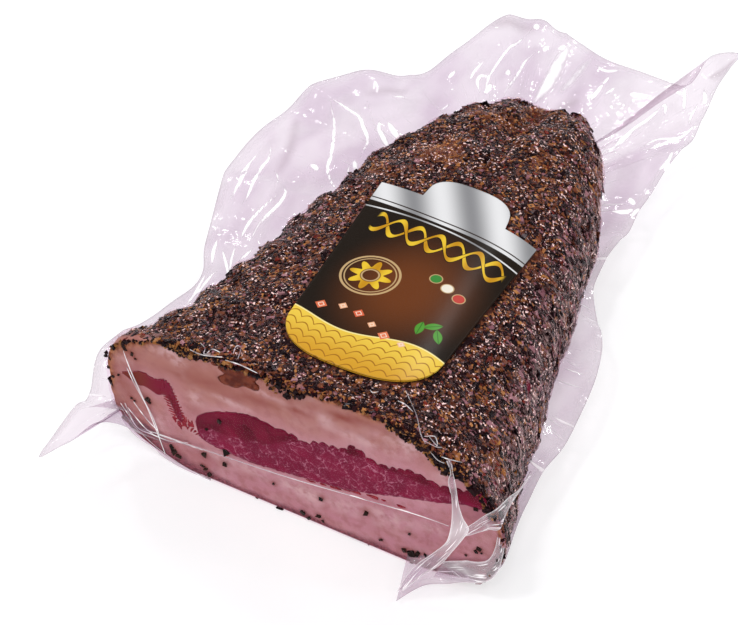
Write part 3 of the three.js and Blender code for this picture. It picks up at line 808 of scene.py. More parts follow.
def grains(name, places, outwards, sizes, flatness, rng, pull=0.0, stretch=1.0):
    """One mesh of cracked grains: each is a box, scaled, each corner drawn in or out by its own share,
    turned about the outward direction at random or along a pull, lengthened by a stretch and set
    on its place. Each grain gets one tint."""
    count = len(places)
    other = unit(np.cross(outwards, rng.normal(size=(count, 3)) + pull))
    side = np.cross(other, outwards)
    axes = np.stack([side, other, outwards], 1)
    scale = sizes[:, None] / 2 * np.stack([stretch * rng.uniform(*GRAIN_LONG, count),
                                           rng.uniform(*GRAIN_WIDE, count),
                                           flatness * rng.uniform(*GRAIN_HIGH, count)], -1)
    corners = BOX_CORNERS * scale[:, None] * rng.uniform(*CORNER_MOVES, (count, 8, 3))
    tipped = axes + rng.normal(scale=GRAIN_TIP, size=(count, 3, 3))
    points = places[:, None] + np.einsum("nci,nij->ncj", corners, tipped)
    points[..., 2] = np.maximum(points[..., 2], GRAIN_LOWEST)
    triangles = BOX_TRIANGLES[None] + 8 * np.arange(count)[:, None, None]
    piece = new_piece(name, points.reshape(-1, 3), triangles.reshape(-1, 3), smooth=False)
    paint(piece, "tint", np.repeat(rng.random(count), len(BOX_CORNERS)))
    return piece


print("one grain has", len(BOX_TRIANGLES), "triangles")

# %% Lay the crust
# How many, their size in millimetres, and how many times as many lie on the steep sides.
GRAIN_KINDS = {"black": (16500, 1.7, 0.95), "brown": (8500, 1.45, 0.6), "tan": (8000, 1.3, 0.4),
               "red": (2600, 1.25, 0.8), "plum": (7500, 1.45, 3.8)}
SAND_ROWS, SAND_COLUMNS = 160, 240
SINK = 0.12
SINK_SPREAD = 0.15
TAIL_LIMIT = 0.985
END_CROWDING = 1.1
FOOT_COVER = 0.02
COVER_FOOT, COVER_FULL = 2.5, 9.0
LABEL_SKIRT = 1.0
BARE_CORNER = 0.96
PATCH_SIZE = 17.0
SIZE_SPREAD = 0.36
SIZE_LIMITS = (0.45, 1.9)
GRAIN_FLATNESS = 0.55
FLANK_PULL = 4.0
FLANK_STRETCH = 0.8


def flank(angle, y):
    """1 on the jowl's steep sides and 0 on its top, from how much the skin faces up."""
    return smooth_step(0.93, 0.6, skin_normal(angle, y)[..., 2])


def crust_weights():
    """The rows of a grid on the skin, and for each cell its area times how much crust covers it, a patch
    mask from noise, and how steep it is."""
    bend = np.linspace(0, 1, SAND_ROWS + 1)
    y = JOWL_LENGTH * TAIL_LIMIT * np.sin(bend * math.pi / 2) ** END_CROWDING
    angle = np.linspace(0, TURN, SAND_COLUMNS + 1)
    grid = skin_point(angle[None, :], y[:, None])
    down, across = grid[1:, :-1] - grid[:-1, :-1], grid[:-1, 1:] - grid[:-1, :-1]
    area = np.linalg.norm(np.cross(down, across), axis=-1)
    centre = (grid[1:, 1:] + grid[:-1, :-1]) / 2
    cover = FOOT_COVER + (1 - FOOT_COVER) * smooth_step(COVER_FOOT, COVER_FULL, centre[..., 2])
    cover = cover * clear_of_label(centre[..., 0], centre[..., 1], LABEL_SKIRT)
    bare = smooth_step(16, 3, centre[..., 1]) * smooth_step(-50, -58, centre[..., 0])
    patch = noise(*np.moveaxis(centre, -1, 0), size=PATCH_SIZE, seed=11)
    steep = flank((angle[1:] + angle[:-1])[None] / 2, (y[1:] + y[:-1])[:, None] / 2)
    return y, area * cover * (1 - BARE_CORNER * bare), smooth_step(0.75, 0.35, patch), steep


sand_y, sand_weight, sand_patch, sand_flank = crust_weights()
pepper = {}
for i, (kind, (count, size, on_flank)) in enumerate(GRAIN_KINDS.items()):
    rng = np.random.default_rng(100 + i)
    patchy = 0.12 + 0.88 * sand_patch if kind in ("black", "plum") else 1.5 - 1.1 * sand_patch
    weight = sand_weight * patchy * (1 + (on_flank - 1) * sand_flank)
    down, across = spread(count, weight, 0.137 * i)
    y = np.interp(down, np.linspace(0, 1, SAND_ROWS + 1), sand_y)
    angle = across * TURN
    keep = np.ones(count, bool)
    if kind == "tan":
        at = skin_point(angle, y)
        keep = noise(*at.T, size=9, seed=12) + 0.9 * rng.random(count) > 0.1
    y, angle = y[keep], angle[keep]
    sizes = size * np.exp(rng.normal(scale=SIZE_SPREAD, size=len(y))).clip(*SIZE_LIMITS)
    steep = flank(angle, y)
    round_way = unit(skin_point(angle + 0.01, y) - skin_point(angle - 0.01, y))
    outwards = skin_normal(angle, y)
    sunk = SINK * sizes - SINK_SPREAD * rng.random(len(y))
    places = crust_surface(angle, y) - outwards * sunk[:, None]
    pepper[kind] = grains("pepper_" + kind, places, outwards, sizes, GRAIN_FLATNESS, rng,
                          FLANK_PULL * steep[:, None] * round_way, 1 + FLANK_STRETCH * steep)
print("grains in all:", sum(len(p.data.polygons) // len(BOX_TRIANGLES) for p in pepper.values()))

# %% [markdown]
# Pepper on the cut and along its rim.
# The crust hangs over the top edge of the cut in small clumps, and the knife has carried single bits
# of pepper onto the face, where the film holds them flat. The clumps follow noise along the rim; the
# single bits are few, so their places are simply listed.

# %% Grains at the cut face
OVERHANG = 1900
OVERHANG_REACH = 5.5
OVERHANG_ANGLES = (0.3, math.pi - 0.1)
OVERHANG_POWER = 1.6
OVERHANG_THIN = 0.06
CLUMP_SIZE = 7.0
CLUMP_SMALLEST, CLUMP_SPREAD = 0.8, 1.1
GOLDEN_SHARE = 0.33
BIT_SUNK = -0.22


def overhang(count, rng):
    """Places on the face below its top rim: an angle round the rim, and a depth in from it that is the
    reach, times the noise along the rim, times a power of a random share."""
    angle = rng.uniform(*OVERHANG_ANGLES, count)
    rim = crust_surface(angle, np.zeros(count))
    clump = smooth_step(-0.5, 0.9, noise(rim[:, 0], rim[:, 2], size=CLUMP_SIZE, seed=14))
    clump = clump * (0.25 + 0.75 * smooth_step(-62, -40, rim[:, 0]))
    inwards = -unit(skin_normal(angle, np.full(count, 1.0)) * [1, 0, 1])
    reach = OVERHANG_REACH * clump * rng.random(count) ** OVERHANG_POWER
    places = rim + inwards * reach[:, None]
    places[:, 1] = -0.1 - 0.5 * rng.random(count)
    kept = OVERHANG_THIN + (1 - OVERHANG_THIN) * clump * smooth_step(-66, -50, rim[:, 0])
    return places[rng.random(count) < kept]


rng = np.random.default_rng(7)
clump_places = overhang(OVERHANG, rng)
facing = np.tile([0.0, -1.0, 0.0], (len(clump_places), 1))
clump_sizes = CLUMP_SMALLEST + CLUMP_SPREAD * rng.random(len(clump_places)) ** 1.5
golden = rng.random(len(clump_places)) < GOLDEN_SHARE
rim_black = grains("rim_pepper_black", clump_places[~golden], facing[~golden], clump_sizes[~golden], 0.7, rng)
rim_golden = grains("rim_pepper_golden", clump_places[golden], facing[golden], clump_sizes[golden], 0.6, rng)
bits = np.array(FACE_BITS)
bit_places = np.stack([bits[:, 0], np.full(len(bits), BIT_SUNK), bits[:, 1]], -1)
face_bits = grains("face_pepper_bits", bit_places, facing[:1].repeat(len(bits), 0), bits[:, 2], 0.3, rng)

# %% [markdown]
# The tight film.
# Vacuum film clings to every grain and bridges the gaps between them. Cloth simulation could shrink it
# on, but at this scale a closed copy of the jowl's own skin, lifted by a film's gap and lumped by
# noise of a grain's size, gives the same taut pillows. Over the cut face it lies flat on the meat, and
# under the label, which is stuck to the outside of the pouch, it lies flat on the skin.

# %% Tight film
FILM_LIFT = 0.8
FILM_FLAT_LIFT = 0.12
FILM_OVER_FACE = 0.4
FILM_LUMP = 0.4
FILM_LUMP_SIZE = 2.4
FILM_SWELL = 0.7
FILM_SWELL_SIZE = 5.5
FILM_MARGIN = 1.5
FILM_FACE_RINGS = 40
FILM_LOWEST = 0.05


def film_lift(points):
    """The film's height over the skin: flat, or that of the grains plus noise of two sizes."""
    place = np.moveaxis(points, -1, 0)
    lumps = noise(*place, size=FILM_LUMP_SIZE, seed=21)
    lumps = lumps + FILM_SWELL * noise(*place, size=FILM_SWELL_SIZE, seed=22)
    return FILM_FLAT_LIFT + crust_share(points, FILM_MARGIN) * (FILM_LIFT + FILM_LUMP * lumps)


film_angle = np.arange(AROUND)[None, :] * TURN / AROUND
film_rows, _ = body_rows()
film_skin = skin_point(film_angle, film_rows[:, None])
film_points, film_triangles, film_face = closed_body(film_lift(film_skin), FILM_OVER_FACE, FILM_FACE_RINGS)
film_points[:, 2] = np.maximum(film_points[:, 2], FILM_LOWEST)
tight_film = new_piece("tight_film", film_points, film_triangles)

on_skin = slice(film_face, film_face + film_skin[..., 0].size)
step = np.linalg.norm(film_skin - np.roll(film_skin, 1, axis=1), axis=-1)
around = np.zeros(len(film_points))
around[on_skin] = np.cumsum(step, axis=1).ravel()
upness = np.zeros(len(film_points))
upness[on_skin] = skin_normal(film_angle, film_rows[:, None])[..., 2].ravel()
lumpy = np.zeros(len(film_points))
lumpy[on_skin] = crust_share(film_skin, FILM_MARGIN).ravel()
behind_cut = smooth_step(0.5, 5, film_points[:, 1])
paint(tight_film, "around", around)
paint(tight_film, "steep", smooth_step(0.85, 0.25, upness) * behind_cut)
paint(tight_film, "lumpy", lumpy * behind_cut)
print("film stands", FILM_LIFT, "mm off the skin, the longest way round is", round(float(around.max())), "mm")

# %% [markdown]
# Thin sheets with two sides.
# Loose film, pleats and paper all need a little thickness, or they would be stray faces. One function
# takes a grid of points, moves it half the thickness both ways along the grid's own normal and closes
# the rim, so every sheet in this lesson is a closed solid.

# %% Closed sheets


def closed_sheet(name, grid, thickness):
    """A thin closed solid round a grid of points: both sides, and walls between their rims."""
    columns, rows = grid.shape[:2]
    normal = unit(np.cross(np.gradient(grid, axis=0), np.gradient(grid, axis=1)))
    sides = [(grid + normal * thickness * half).reshape(-1, 3) for half in (0.5, -0.5)]
    front = sheet_triangles(columns, rows)
    rim, count = sheet_rim(columns, rows), columns * rows
    walls = joined_rings(rim, rim + count)[:, ::-1]
    return name, np.concatenate(sides), np.concatenate([front, front[:, ::-1] + count, walls])


def both_sides(grids):
    """One row of numbers from grids of numbers, each given twice, for a sheet's two sides."""
    return np.concatenate([np.tile(grid.ravel(), 2) for grid in grids])


print("three numbers for both sides:", both_sides([np.arange(3)]))


# %% [markdown]
# The loose film round the jowl.
# A pouch is two sheets welded together past the meat, so a wide flap stands out all round, and it is
# pleated where the vacuum has drawn it in. Its edge is a curve through given points, its root is
# where the line from the jowl's axis to that edge leaves the meat, and between the two it is ruled.
# Folds are ridged noise: one minus its absolute value, raised to a power, has sharp crests like those
# of folded film. Most of the flap stays smooth, because large calm shapes are what reflect a window.

# %% Loose film sizes
FILM_ROOT = 20.0
# x, y and height at the edge, and the height at the root where that isn't FILM_ROOT.
FILM_EDGE = [
    [-63, -1.5, 11, 11], [-72, -3.5, 14, 14], [-77.5, -8.5, 16, 16], [-81.5, -20, 17, 17],
    [-84.5, -31, 17, 17], [-84.6, -8, 19, 18], [-85, 2, 20], [-91, 21, 21], [-80, 43, 20], [-78, 66, 20],
    [-86, 83, 19], [-94, 107, 18], [-98, 126, 19], [-96.5, 152, 20], [-92, 168, 21], [-83.5, 183, 21],
    [-72, 194.5, 20], [-57, 206, 19], [-51, 222, 20], [-42, 243, 21], [-32, 251, 22], [-22, 249, 21],
    [-10, 243.5, 19], [14, 243.5, 18], [35, 244, 21], [39.5, 256, 24], [49.8, 262, 25], [47, 246, 22],
    [49, 228, 21], [50.5, 213, 20], [47.8, 192, 20], [47.5, 174, 21], [49, 158, 21], [48.2, 140, 20],
    [49.5, 128, 20], [57, 115, 20], [65.5, 100, 19], [70, 80, 20], [71, 60, 20], [70.5, 41, 19],
    [71, 27, 15, 16], [71.8, 13, 11.5, 12.5], [71.9, 4.4, 10.5, 12], [68.6, -1.2, 8, 11], [60, -4, 6, 9],
    [51.5, -8.5, 5, 7], [46, -18, 4, 5]
]
FILM_EDGE = [[*place, FILM_ROOT][:4] for place in FILM_EDGE]
FILM_COLUMNS = 780
FILM_SHEET_ROWS = 58
FILM_THIN = 0.25
FILM_INSET = 3.0
FILM_WAVE = 2.2
FILM_WAVES = 13
FILM_AXIS_END = 150.0
EAR_AXIS = 14.0
FLOAT_LOWEST = 0.6
HALVINGS = 24
TENT_POWER = 1.6
TENT_FROM, TENT_SPAN = 0.12, 0.8
WANDER = 4
WANDER_SIZE = 26
PLEAT_RISE = 1.3
CALM_RISE = 1.1
CALM_SIZE = 13.0
# Station of the edge, height and half width of each tent.
TENTS = [
    (4.2, 1.6, 7), (5.6, 1.2, 7), (7.3, 3.2, 9), (9.2, 2.2, 8), (11.5, 2.4, 9), (14.2, 2.4, 8),
    (16.6, 2.6, 9), (19.0, 2.6, 9), (21.4, 2.4, 8), (24.4, 1.8, 8), (26.6, 1.0, 6), (29.4, 2.4, 9),
    (32.4, 2.0, 8), (35.4, 2.0, 8)
]
# Path, half width and strength of each painted highlight: white streaks and broad glare where the flap turns
# towards a light.
HIGHLIGHT_STREAKS = [
    ([[-80.6, 167.5], [-75.9, 167.4], [-70.6, 166.2], [-66.4, 165.3], [-62.2, 161.6], [-58.7, 158.6],
     [-57.8, 154.5], [-56.9, 149.1]], 0.95, 1),
    ([[-78.8, 166.3], [-74.9, 161.6], [-71.3, 154.8], [-66.8, 144.6], [-64.8, 138], [-59.6, 131.5],
     [-54.9, 128.5]], 0.95, 1),
    ([[-89.3, 138], [-86.6, 131.5], [-86.8, 127.1], [-84.2, 116.6], [-83.1, 110.3], [-83.1, 105.3]], 0.95,
     1),
    ([[-72.7, 118.7], [-70.8, 116.6], [-70.6, 112.5], [-72, 106.6], [-73, 99.6], [-72.3, 93.6]], 0.95, 1),
    ([[-72.6, 115.6], [-74.9, 109.1], [-76.5, 101.1], [-76.4, 95.2], [-75.9, 92.2]], 0.95, 0.9),
    ([[-91.9, 127.1], [-89, 116.6], [-88.6, 110.3], [-88.3, 105.3]], 0.95, 0.9),
    ([[-91.8, 133.1], [-91.8, 123.2], [-89.3, 113.5]], 0.95, 0.7),
    ([[-83.6, 87.8], [-81.5, 81.4], [-78.6, 75.5]], 0.95, 0.9),
    ([[-79, 83.8], [-73.6, 77.3], [-68.8, 70.8]], 0.95, 0.8),
    ([[-75.8, 87.8], [-73.7, 81.4], [-70.1, 73.6]], 0.95, 0.7),
    ([[-69.6, 89.2], [-69.8, 85.1], [-70.5, 81.4]], 1, 0.8),
    ([[-77.2, 68.9], [-76.3, 63], [-74.7, 56.3], [-73.9, 49.2]], 0.95, 0.8),
    ([[-74.2, 71.8], [-75, 64.3], [-74.1, 57.7]], 0.95, 0.8),
    ([[-71.4, 136.4], [-69.3, 136.4], [-67.5, 134.7]], 1.6, 0.9),
    ([[-81.7, 127.1], [-78.7, 124.4], [-75.7, 118.7]], 1, 0.5),
    ([[-58.9, 168.5], [-56.6, 163.7], [-52.4, 159.8], [-49.6, 158.3]], 1.3, 0.9),
    ([[-55.8, 169.6], [-51.7, 166.3], [-47.4, 163.3]], 1.6, 0.9),
    ([[-52.3, 157.2], [-48.6, 154.8]], 1.6, 0.9), ([[-53.8, 134.7], [-57, 139.7], [-58, 144.6]], 0.95, 0.5),
    ([[-57.7, 146.2], [-53.8, 139.7]], 2, 0.6),
    ([[-61.1, 183.5], [-58.8, 185.7], [-56.1, 186.9]], 1.4, 0.5),
    ([[-68.5, 176.4], [-61.6, 167.8], [-52.8, 155.8]], 1, 0.35),
    ([[-71.7, 134.7], [-65, 130], [-56.3, 125.7]], 0.95, 0.4), ([[-47.3, 203.7], [-46.6, 208.4]], 1.2, 0.9),
    ([[-39.2, 206.2], [-39.6, 211.3], [-38.4, 216.4]], 0.95, 0.9),
    ([[-32.5, 200.9], [-35.8, 205.7], [-36.1, 209.2], [-32.6, 208.6], [-31.3, 203.4]], 0.95, 1),
    ([[-30.1, 205.9], [-29.7, 200.8]], 1.4, 1),
    ([[-31.3, 243.9], [-31.7, 231.3], [-32.6, 222.1], [-32.9, 214.1], [-32.1, 207.7]], 1, 0.8),
    ([[-31, 248], [-29, 245]], 2.4, 0.7),
    ([[-23.7, 232.8], [-25, 226.4], [-24.3, 220.2], [-23.1, 209.6], [-22.4, 200.9]], 1.2, 0.6),
    ([[-27.1, 214.6], [-25.6, 211.5]], 1.6, 0.8), ([[-21.7, 238.5], [-21.1, 234.5]], 1.6, 0.8),
    ([[-41.7, 185.5], [-40.8, 191.8]], 1, 0.6),
    ([[-13, 241], [-12, 227], [-11, 216], [-11, 205]], 5.5, 0.55),
    ([[-3, 240], [-4, 227], [-5, 216]], 5, 0.3), ([[-14.8, 235.7], [-14.8, 238.2]], 2, 0.9),
    ([[0, 237.9], [4.3, 237.2], [8.8, 239.9]], 1.6, 0.7),
    ([[6.7, 229.5], [6.5, 224.3], [6.2, 219.1]], 1.3, 0.9), ([[11.7, 229.5], [10, 224.3]], 0.95, 0.9),
    ([[7, 234.7], [6.7, 229.5]], 1.4, 0.6),
    ([[33.8, 225.8], [31.7, 217.3], [28.4, 209.8], [26.1, 201.6], [24.3, 194.6]], 0.95, 1),
    ([[33.8, 225.8], [35, 224.7], [35.4, 222.5]], 0.95, 0.8),
    ([[37, 237.2], [39.3, 232.5], [40.3, 230]], 1, 0.9),
    ([[43.7, 236.2], [44, 229.4], [45.7, 222.6]], 0.95, 0.7),
    ([[48.1, 225.7], [47.4, 219.3], [45.9, 214.2], [42.6, 209.4], [39.8, 205.3], [35.3, 200.1]], 0.95, 0.9),
    ([[47.3, 216.3], [43.3, 212.1], [38.4, 208.7], [34.8, 202.1]], 0.95, 0.7),
    ([[47.2, 203], [47.4, 199.1], [46, 193.5]], 1, 0.9), ([[48.6, 198.2], [48, 194.4]], 1.6, 0.9),
    ([[43.6, 241.7], [45.1, 240.1], [45.3, 237.1]], 1.2, 1), ([[41.6, 177.2], [44.6, 174.4]], 1.8, 0.9),
    ([[39.1, 167.1], [43.1, 168.9], [45.4, 171.9]], 1.6, 0.9),
    ([[46.4, 167.6], [46.8, 171.6], [47.2, 173.8]], 1.2, 0.9),
    ([[23.2, 189.3], [23.7, 196.1], [29.5, 196.3]], 1.4, 0.4)
]
# Stations of the edge between which a second layer lies under the first.
DOUBLED = [(3.4, 7.2), (23.2, 28.2)]
# Painted shade along folds, written as the highlight strokes are.
FOLD_SHADE_STROKES = [
    ([[36, 247], [30, 228], [21, 200]], 0.8, 0.6), ([[-46, 236], [-30, 246]], 6.0, 0.5),
    ([[49, 259], [47, 252], [44, 246]], 1.6, 0.6), ([[-88, 156], [-82, 140], [-80, 128]], 4.0, 0.35),
    ([[2, 216], [-2, 206]], 5.0, 0.35), ([[-70, 180], [-60, 190]], 5.0, 0.25)
]


def film_axis(edge):
    """The point of the jowl's axis that a point of the edge is stretched from; ears have their own."""
    in_ear = 1 - smooth_step(-12, 6, edge[:, 1])
    y = np.minimum(edge[:, 1], FILM_AXIS_END) * (1 - in_ear) + EAR_AXIS * in_ear
    x = section_at(y)[0] * (1 - in_ear) + 0.8 * edge[:, 0] * in_ear
    return np.stack([x, y], -1)


def film_root(edge):
    """Where the line from the axis to the edge leaves the jowl's plan, found by halving."""
    axis = film_axis(edge)
    inside, outside = np.zeros(len(edge)), np.ones(len(edge))
    for _ in range(HALVINGS):
        half = (inside + outside) / 2
        probe = axis + (edge[:, :2] - axis) * half[:, None]
        middle, width, _, _ = section_at(probe[:, 1])
        held = (probe[:, 1] > 0) & (probe[:, 1] < JOWL_LENGTH) & (np.abs(probe[:, 0] - middle) < width)
        inside, outside = np.where(held, half, inside), np.where(held, outside, half)
    inset = FILM_INSET / np.linalg.norm(edge[:, :2] - axis, axis=1)
    return axis + (edge[:, :2] - axis) * (inside - inset)[:, None]


def ridges(x, y, size, seed, power):
    """Crests of ridged noise: (1 - |noise|) to a power, 1 on a crest and near 0 between."""
    return (1 - np.abs(noise(x, y, size=size, seed=seed))) ** power


def loose_film_grid():
    """The flap ruled from root to edge: broad waves, tents at chosen stations of the edge, calm
    unevenness, and pleats that fade outwards. Also the length along it, and the way from its root and
    to its rim."""
    edge = smooth_curve(FILM_EDGE, FILM_COLUMNS)
    root = film_root(edge)
    along = np.linspace(0, 1, FILM_COLUMNS)
    run = np.cumsum(np.r_[0, np.linalg.norm(np.diff(edge[:, :2], axis=0), axis=1)])
    width = np.linalg.norm(edge[:, :2] - root, axis=1)
    out = np.linspace(0, 1, FILM_SHEET_ROWS)[None, :]
    fade = smooth_step(0, 0.1, along) * smooth_step(1, 0.88, along)
    turn = TURN * FILM_WAVES * along
    wave = FILM_WAVE * fade * (np.sin(turn) + 0.4 * np.sin(2.3 * turn))
    z = edge[:, 3:] + (edge[:, 2:3] - edge[:, 3:] + wave[:, None]) * out
    place = root[:, None] + (edge[:, :2] - root)[:, None] * out[..., None]
    s = run[:, None] + WANDER * noise(place[..., 0], place[..., 1], size=WANDER_SIZE, seed=31)
    d = width[:, None] * out
    stations = np.interp([t[0] for t in TENTS], np.linspace(0, len(FILM_EDGE) - 1, FILM_COLUMNS), run)
    rise = np.sqrt(np.maximum(0, np.sin(np.pi * (TENT_FROM + TENT_SPAN * out))))
    for at, (_, height, half_width) in zip(stations, TENTS):
        z = z + height * rise * np.maximum(0, 1 - np.abs(s - at) / half_width) ** TENT_POWER
    pleats = ridges(s, d * 0.2, 7, 32, 5) * (1 - out) ** 2
    calm = noise(place[..., 0], place[..., 1] * 0.5, size=CALM_SIZE, seed=35)
    z = z + PLEAT_RISE * pleats + CALM_RISE * calm * smooth_step(0, 0.3, out)
    grid = np.concatenate([place, np.maximum(z, FLOAT_LOWEST)[..., None]], -1)
    return grid, s, d, width[:, None] * (1 - out)


STROKE_REACH = 2.7
STROKE_FAINT = 0.35
STROKE_POINTS = 48


def stroked(places, strokes):
    """How strongly strokes cover each place: 1 less the distance to the nearest point of a smooth curve
    over its reach, lowered for faint strokes and at both ends, where strength falls by a root of a sine."""
    cover = np.zeros(places.shape[:-1])
    for path, half_width, strength in strokes:
        line = smooth_curve(path, STROKE_POINTS)
        away = np.linalg.norm(places[..., None, :2] - line, axis=-1)
        fade = np.sqrt(np.sin(np.pi * (away.argmin(-1) + 0.5) / len(line)))
        near = 1 - away.min(-1) / (STROKE_REACH * half_width)
        cover = np.maximum(cover, near - STROKE_FAINT * (1 - strength * fade))
    return cover


loose_grid, film_run, film_depth, film_rim = loose_film_grid()
# Painted highlights, white streaks and glare where the flap turns to a light, and painted shade along its
# folds, as numbers on its corners.
film_painted_highlights, film_fold_shade = stroked(loose_grid, HIGHLIGHT_STREAKS), stroked(loose_grid, FOLD_SHADE_STROKES)
station = np.linspace(0, len(FILM_EDGE) - 1, FILM_COLUMNS)[:, None] + 0 * film_depth
film_doubled = sum(smooth_step(a - 0.5, a + 0.5, station) * smooth_step(b + 0.5, b - 0.5, station)
                   for a, b in DOUBLED)
loose_film = new_piece(*closed_sheet("loose_film", loose_grid, FILM_THIN))
film_masks = {"run": film_run, "depth": film_depth, "to_rim": film_rim, "white": film_painted_highlights,
              "grey": film_fold_shade, "doubled": film_doubled}
for name, values in film_masks.items():
    paint(loose_film, name, both_sides([values]))
print("the flap's edge runs", round(float(film_run.max())), "mm")

# %% [markdown]
# Pleats over the cut face.
# Where the pouch's corner is gathered, film stands off the meat in a forked fin, and two thin creases
# cross the face. Each fin is ruled between two edge curves, and each crease is a narrow band along a
# path, humped across. Their points are given one by one, as a packer's folds obey no formula.

# %% Fins and creases
FIN_THIN = 0.2
FIN_LOWEST = 0.3
FIN_RIPPLE = 0.5
FIN_EDGE_POWER = 10
EDGE_MILK, RIPPLE_MILK = 0.55, 0.35
UPPER_FIN = (
    [[54.6, -0.9, 62.2], [56.4, -1.4, 58], [55.9, -2, 53.4], [57.8, -3, 46.3], [58.6, -4, 38.8],
     [58.4, -5, 31.8], [57.3, -6, 26.9], [53.3, -8, 21], [49.3, -10, 15.7], [46.4, -13, 9.6],
     [45.2, -16, 5.6]],
    [[56.2, -0.9, 61.2], [57.2, -1.6, 57.4], [58.8, -2.5, 53], [60.3, -3, 45.3], [62.5, -4, 41.1],
     [65, -4.6, 37.6], [63.7, -5.5, 33], [60.2, -7, 25], [57.2, -9, 19], [51.9, -11.5, 12.6],
     [47, -16, 6.4]]
)
SIDE_FIN = (
    [[64, -4.6, 37.6], [66.4, -3.6, 40.6], [68.6, -2.4, 43.4], [71.3, -1.6, 46.6], [72.7, 0.4, 47.6],
     [72.5, 9, 43.4], [71, 22, 33.4], [67.2, 38, 22.6]],
    [[63.2, -4.8, 33], [65.6, -3.4, 33.8], [68, -2.4, 35.4], [71, -1.6, 37.2], [74.2, -0.6, 38.6],
     [73.9, 4, 40.4], [72.6, 13, 37.6], [68.4, 36.6, 23]]
)
HEM_FIN = (
    [[54.9, -1, 10.5], [58.7, -0.9, 12.9], [63.8, -0.9, 15.8], [68.6, -0.9, 18.5], [71.3, -0.8, 21.8],
     [73, -0.8, 28.1], [73.5, -0.7, 33.9]],
    [[51.9, -2.5, 2.0], [57.5, -2.2, 3.2], [64, -2, 5.4], [70.5, -1.8, 9.6], [74.4, -1.4, 16],
     [76, -0.9, 26], [75.8, 0.5, 33]]
)
FOOT_FIN = (
    [[-70.5, -0.3, 19], [-66, -0.4, 12.5], [-60, -0.4, 8], [-54.4, -0.4, 4.9], [-45, -0.4, 1.6],
     [-36, -0.3, 0.7]],
    [[-73, 3, 9], [-68.6, 3, 3.4], [-60.2, 2, 1.2], [-53.3, 0.5, 0.6], [-45.3, -0.4, 0.5],
     [-35.7, -0.5, 0.5]]
)
CREASE_HALF_WIDTH = 0.2
GLINT_HALF_WIDTH = 0.21
CREASE_ROWS = 7
CREASE_TAPER = 0.4
CREASE_BROKEN = 0.3
CREASE_GAPS = 17
CREASE_HUMP = 0.25
CREASE_WHITE, GLINT_WHITE = 0.62, 0.65
FACE_CREASES = [
    [[-67, -0.6, 51.5], [-64.3, -0.6, 41.4], [-58.7, -0.6, 24.8], [-53.5, -0.6, 5.1]],
    [[-66.2, -0.6, 43.5], [-63.6, -0.6, 36.4], [-57.6, -0.6, 23.2], [-55.2, -0.6, 13.5]],
    [[-64.2, -0.6, 13.1], [-55.9, -0.6, 14.7], [-45.6, -0.6, 15.6], [-30.4, -0.6, 17.3], [-4, -0.6, 20.5],
     [22.6, -0.6, 25.1], [44.4, -0.6, 28.8], [56.2, -0.9, 30.1]],
    [[-56, -0.6, 14.3], [-45.6, -0.6, 15.1], [-38, -0.6, 15.9]],
    [[-70.3, -0.6, 23], [-67.7, -0.6, 19], [-65.1, -0.6, 14.2]],
    [[-67.4, -0.6, 22.2], [-61.4, -0.6, 15.4], [-58, -0.6, 13.6]],
    [[-64.8, -0.6, 26.7], [-59.9, -0.6, 20.1], [-55.6, -0.6, 16.3]],
    [[-68.5, -0.6, 24], [-64.5, -0.6, 13.8], [-58.1, -0.6, 13.1], [-51, -0.6, 13.4], [-43.8, -0.6, 16.6]]
]
# Paths of white bands along the top rim: painted highlights where curled film catches the light.
RIM_GLINTS = [
    [[-40.2, -0.4, 65.6], [-35, -1.1, 66.5], [-28.5, 0.6, 67.1]],
    [[-38.8, 4, 65.3], [-36.2, 2.4, 65.9], [-34.9, -0.3, 66.4], [-32.7, 0.3, 66.7]],
    [[-26.2, 3.8, 66.9], [-27.3, 7.6, 66.3], [-25.4, 7.4, 66.6], [-23.5, 2.2, 67.4]],
    [[-26.8, -0.3, 67.4], [-21.3, -0.1, 67.8], [-14.3, -1.2, 68.5]],
    [[-34.1, 0.1, 66.5], [-33.6, 2.8, 66.2], [-30.4, 2.4, 66.7]],
    [[31.3, 15.8, 67.1], [39, 8.5, 66.7], [44.5, 1.6, 66.2], [50.6, -0.9, 61.9], [53.9, -0.9, 60.9]],
    [[45, 2.2, 66], [47.7, 4.6, 64.9], [49.8, 2, 64.4], [46.4, 3.2, 65.4]],
    [[46, 0.6, 66], [49.4, 1.2, 64.6], [51, 3, 63]],
    [[52.8, -0.8, 63.4], [55.1, 0.3, 62.3], [58.4, 2.8, 60]],
    [[31.4, 10.1, 67.9], [34, 10.3, 67.5], [37.6, 8.9, 67.1]],
    [[21.7, 9.3, 68.8], [23, 8.9, 68.8], [24.2, 10.1, 68.6]]
]


def ruled(left, right, count, rows, belly, seed, milk):
    """A sheet between two smooth edges, hollowed across by half a sine and rippled along by noise,
    with a milkiness that passes along it through the given numbers, and rises at both edges."""
    a, b = smooth_curve(left, count), smooth_curve(right, count)
    share = np.linspace(0, 1, rows)[None, :, None]
    grid = a[:, None] + (b - a)[:, None] * share
    along = np.arange(count)[:, None] / count
    ripple = ridges(share[..., 0] * 4.0, along * 1.6, 1.0, seed, 6)
    grid[..., 1] += belly * np.sin(np.pi * share[..., 0]) + FIN_RIPPLE * ripple
    grid[..., 2] = np.maximum(grid[..., 2], FIN_LOWEST)
    edge = np.abs(2 * share[..., 0] - 1) ** FIN_EDGE_POWER
    body = np.interp(along, np.linspace(0, 1, len(milk)), milk)
    milky = body + (1 - body) * np.maximum(EDGE_MILK * edge, RIPPLE_MILK * ripple)
    return grid, np.clip(milky, 0, 1)


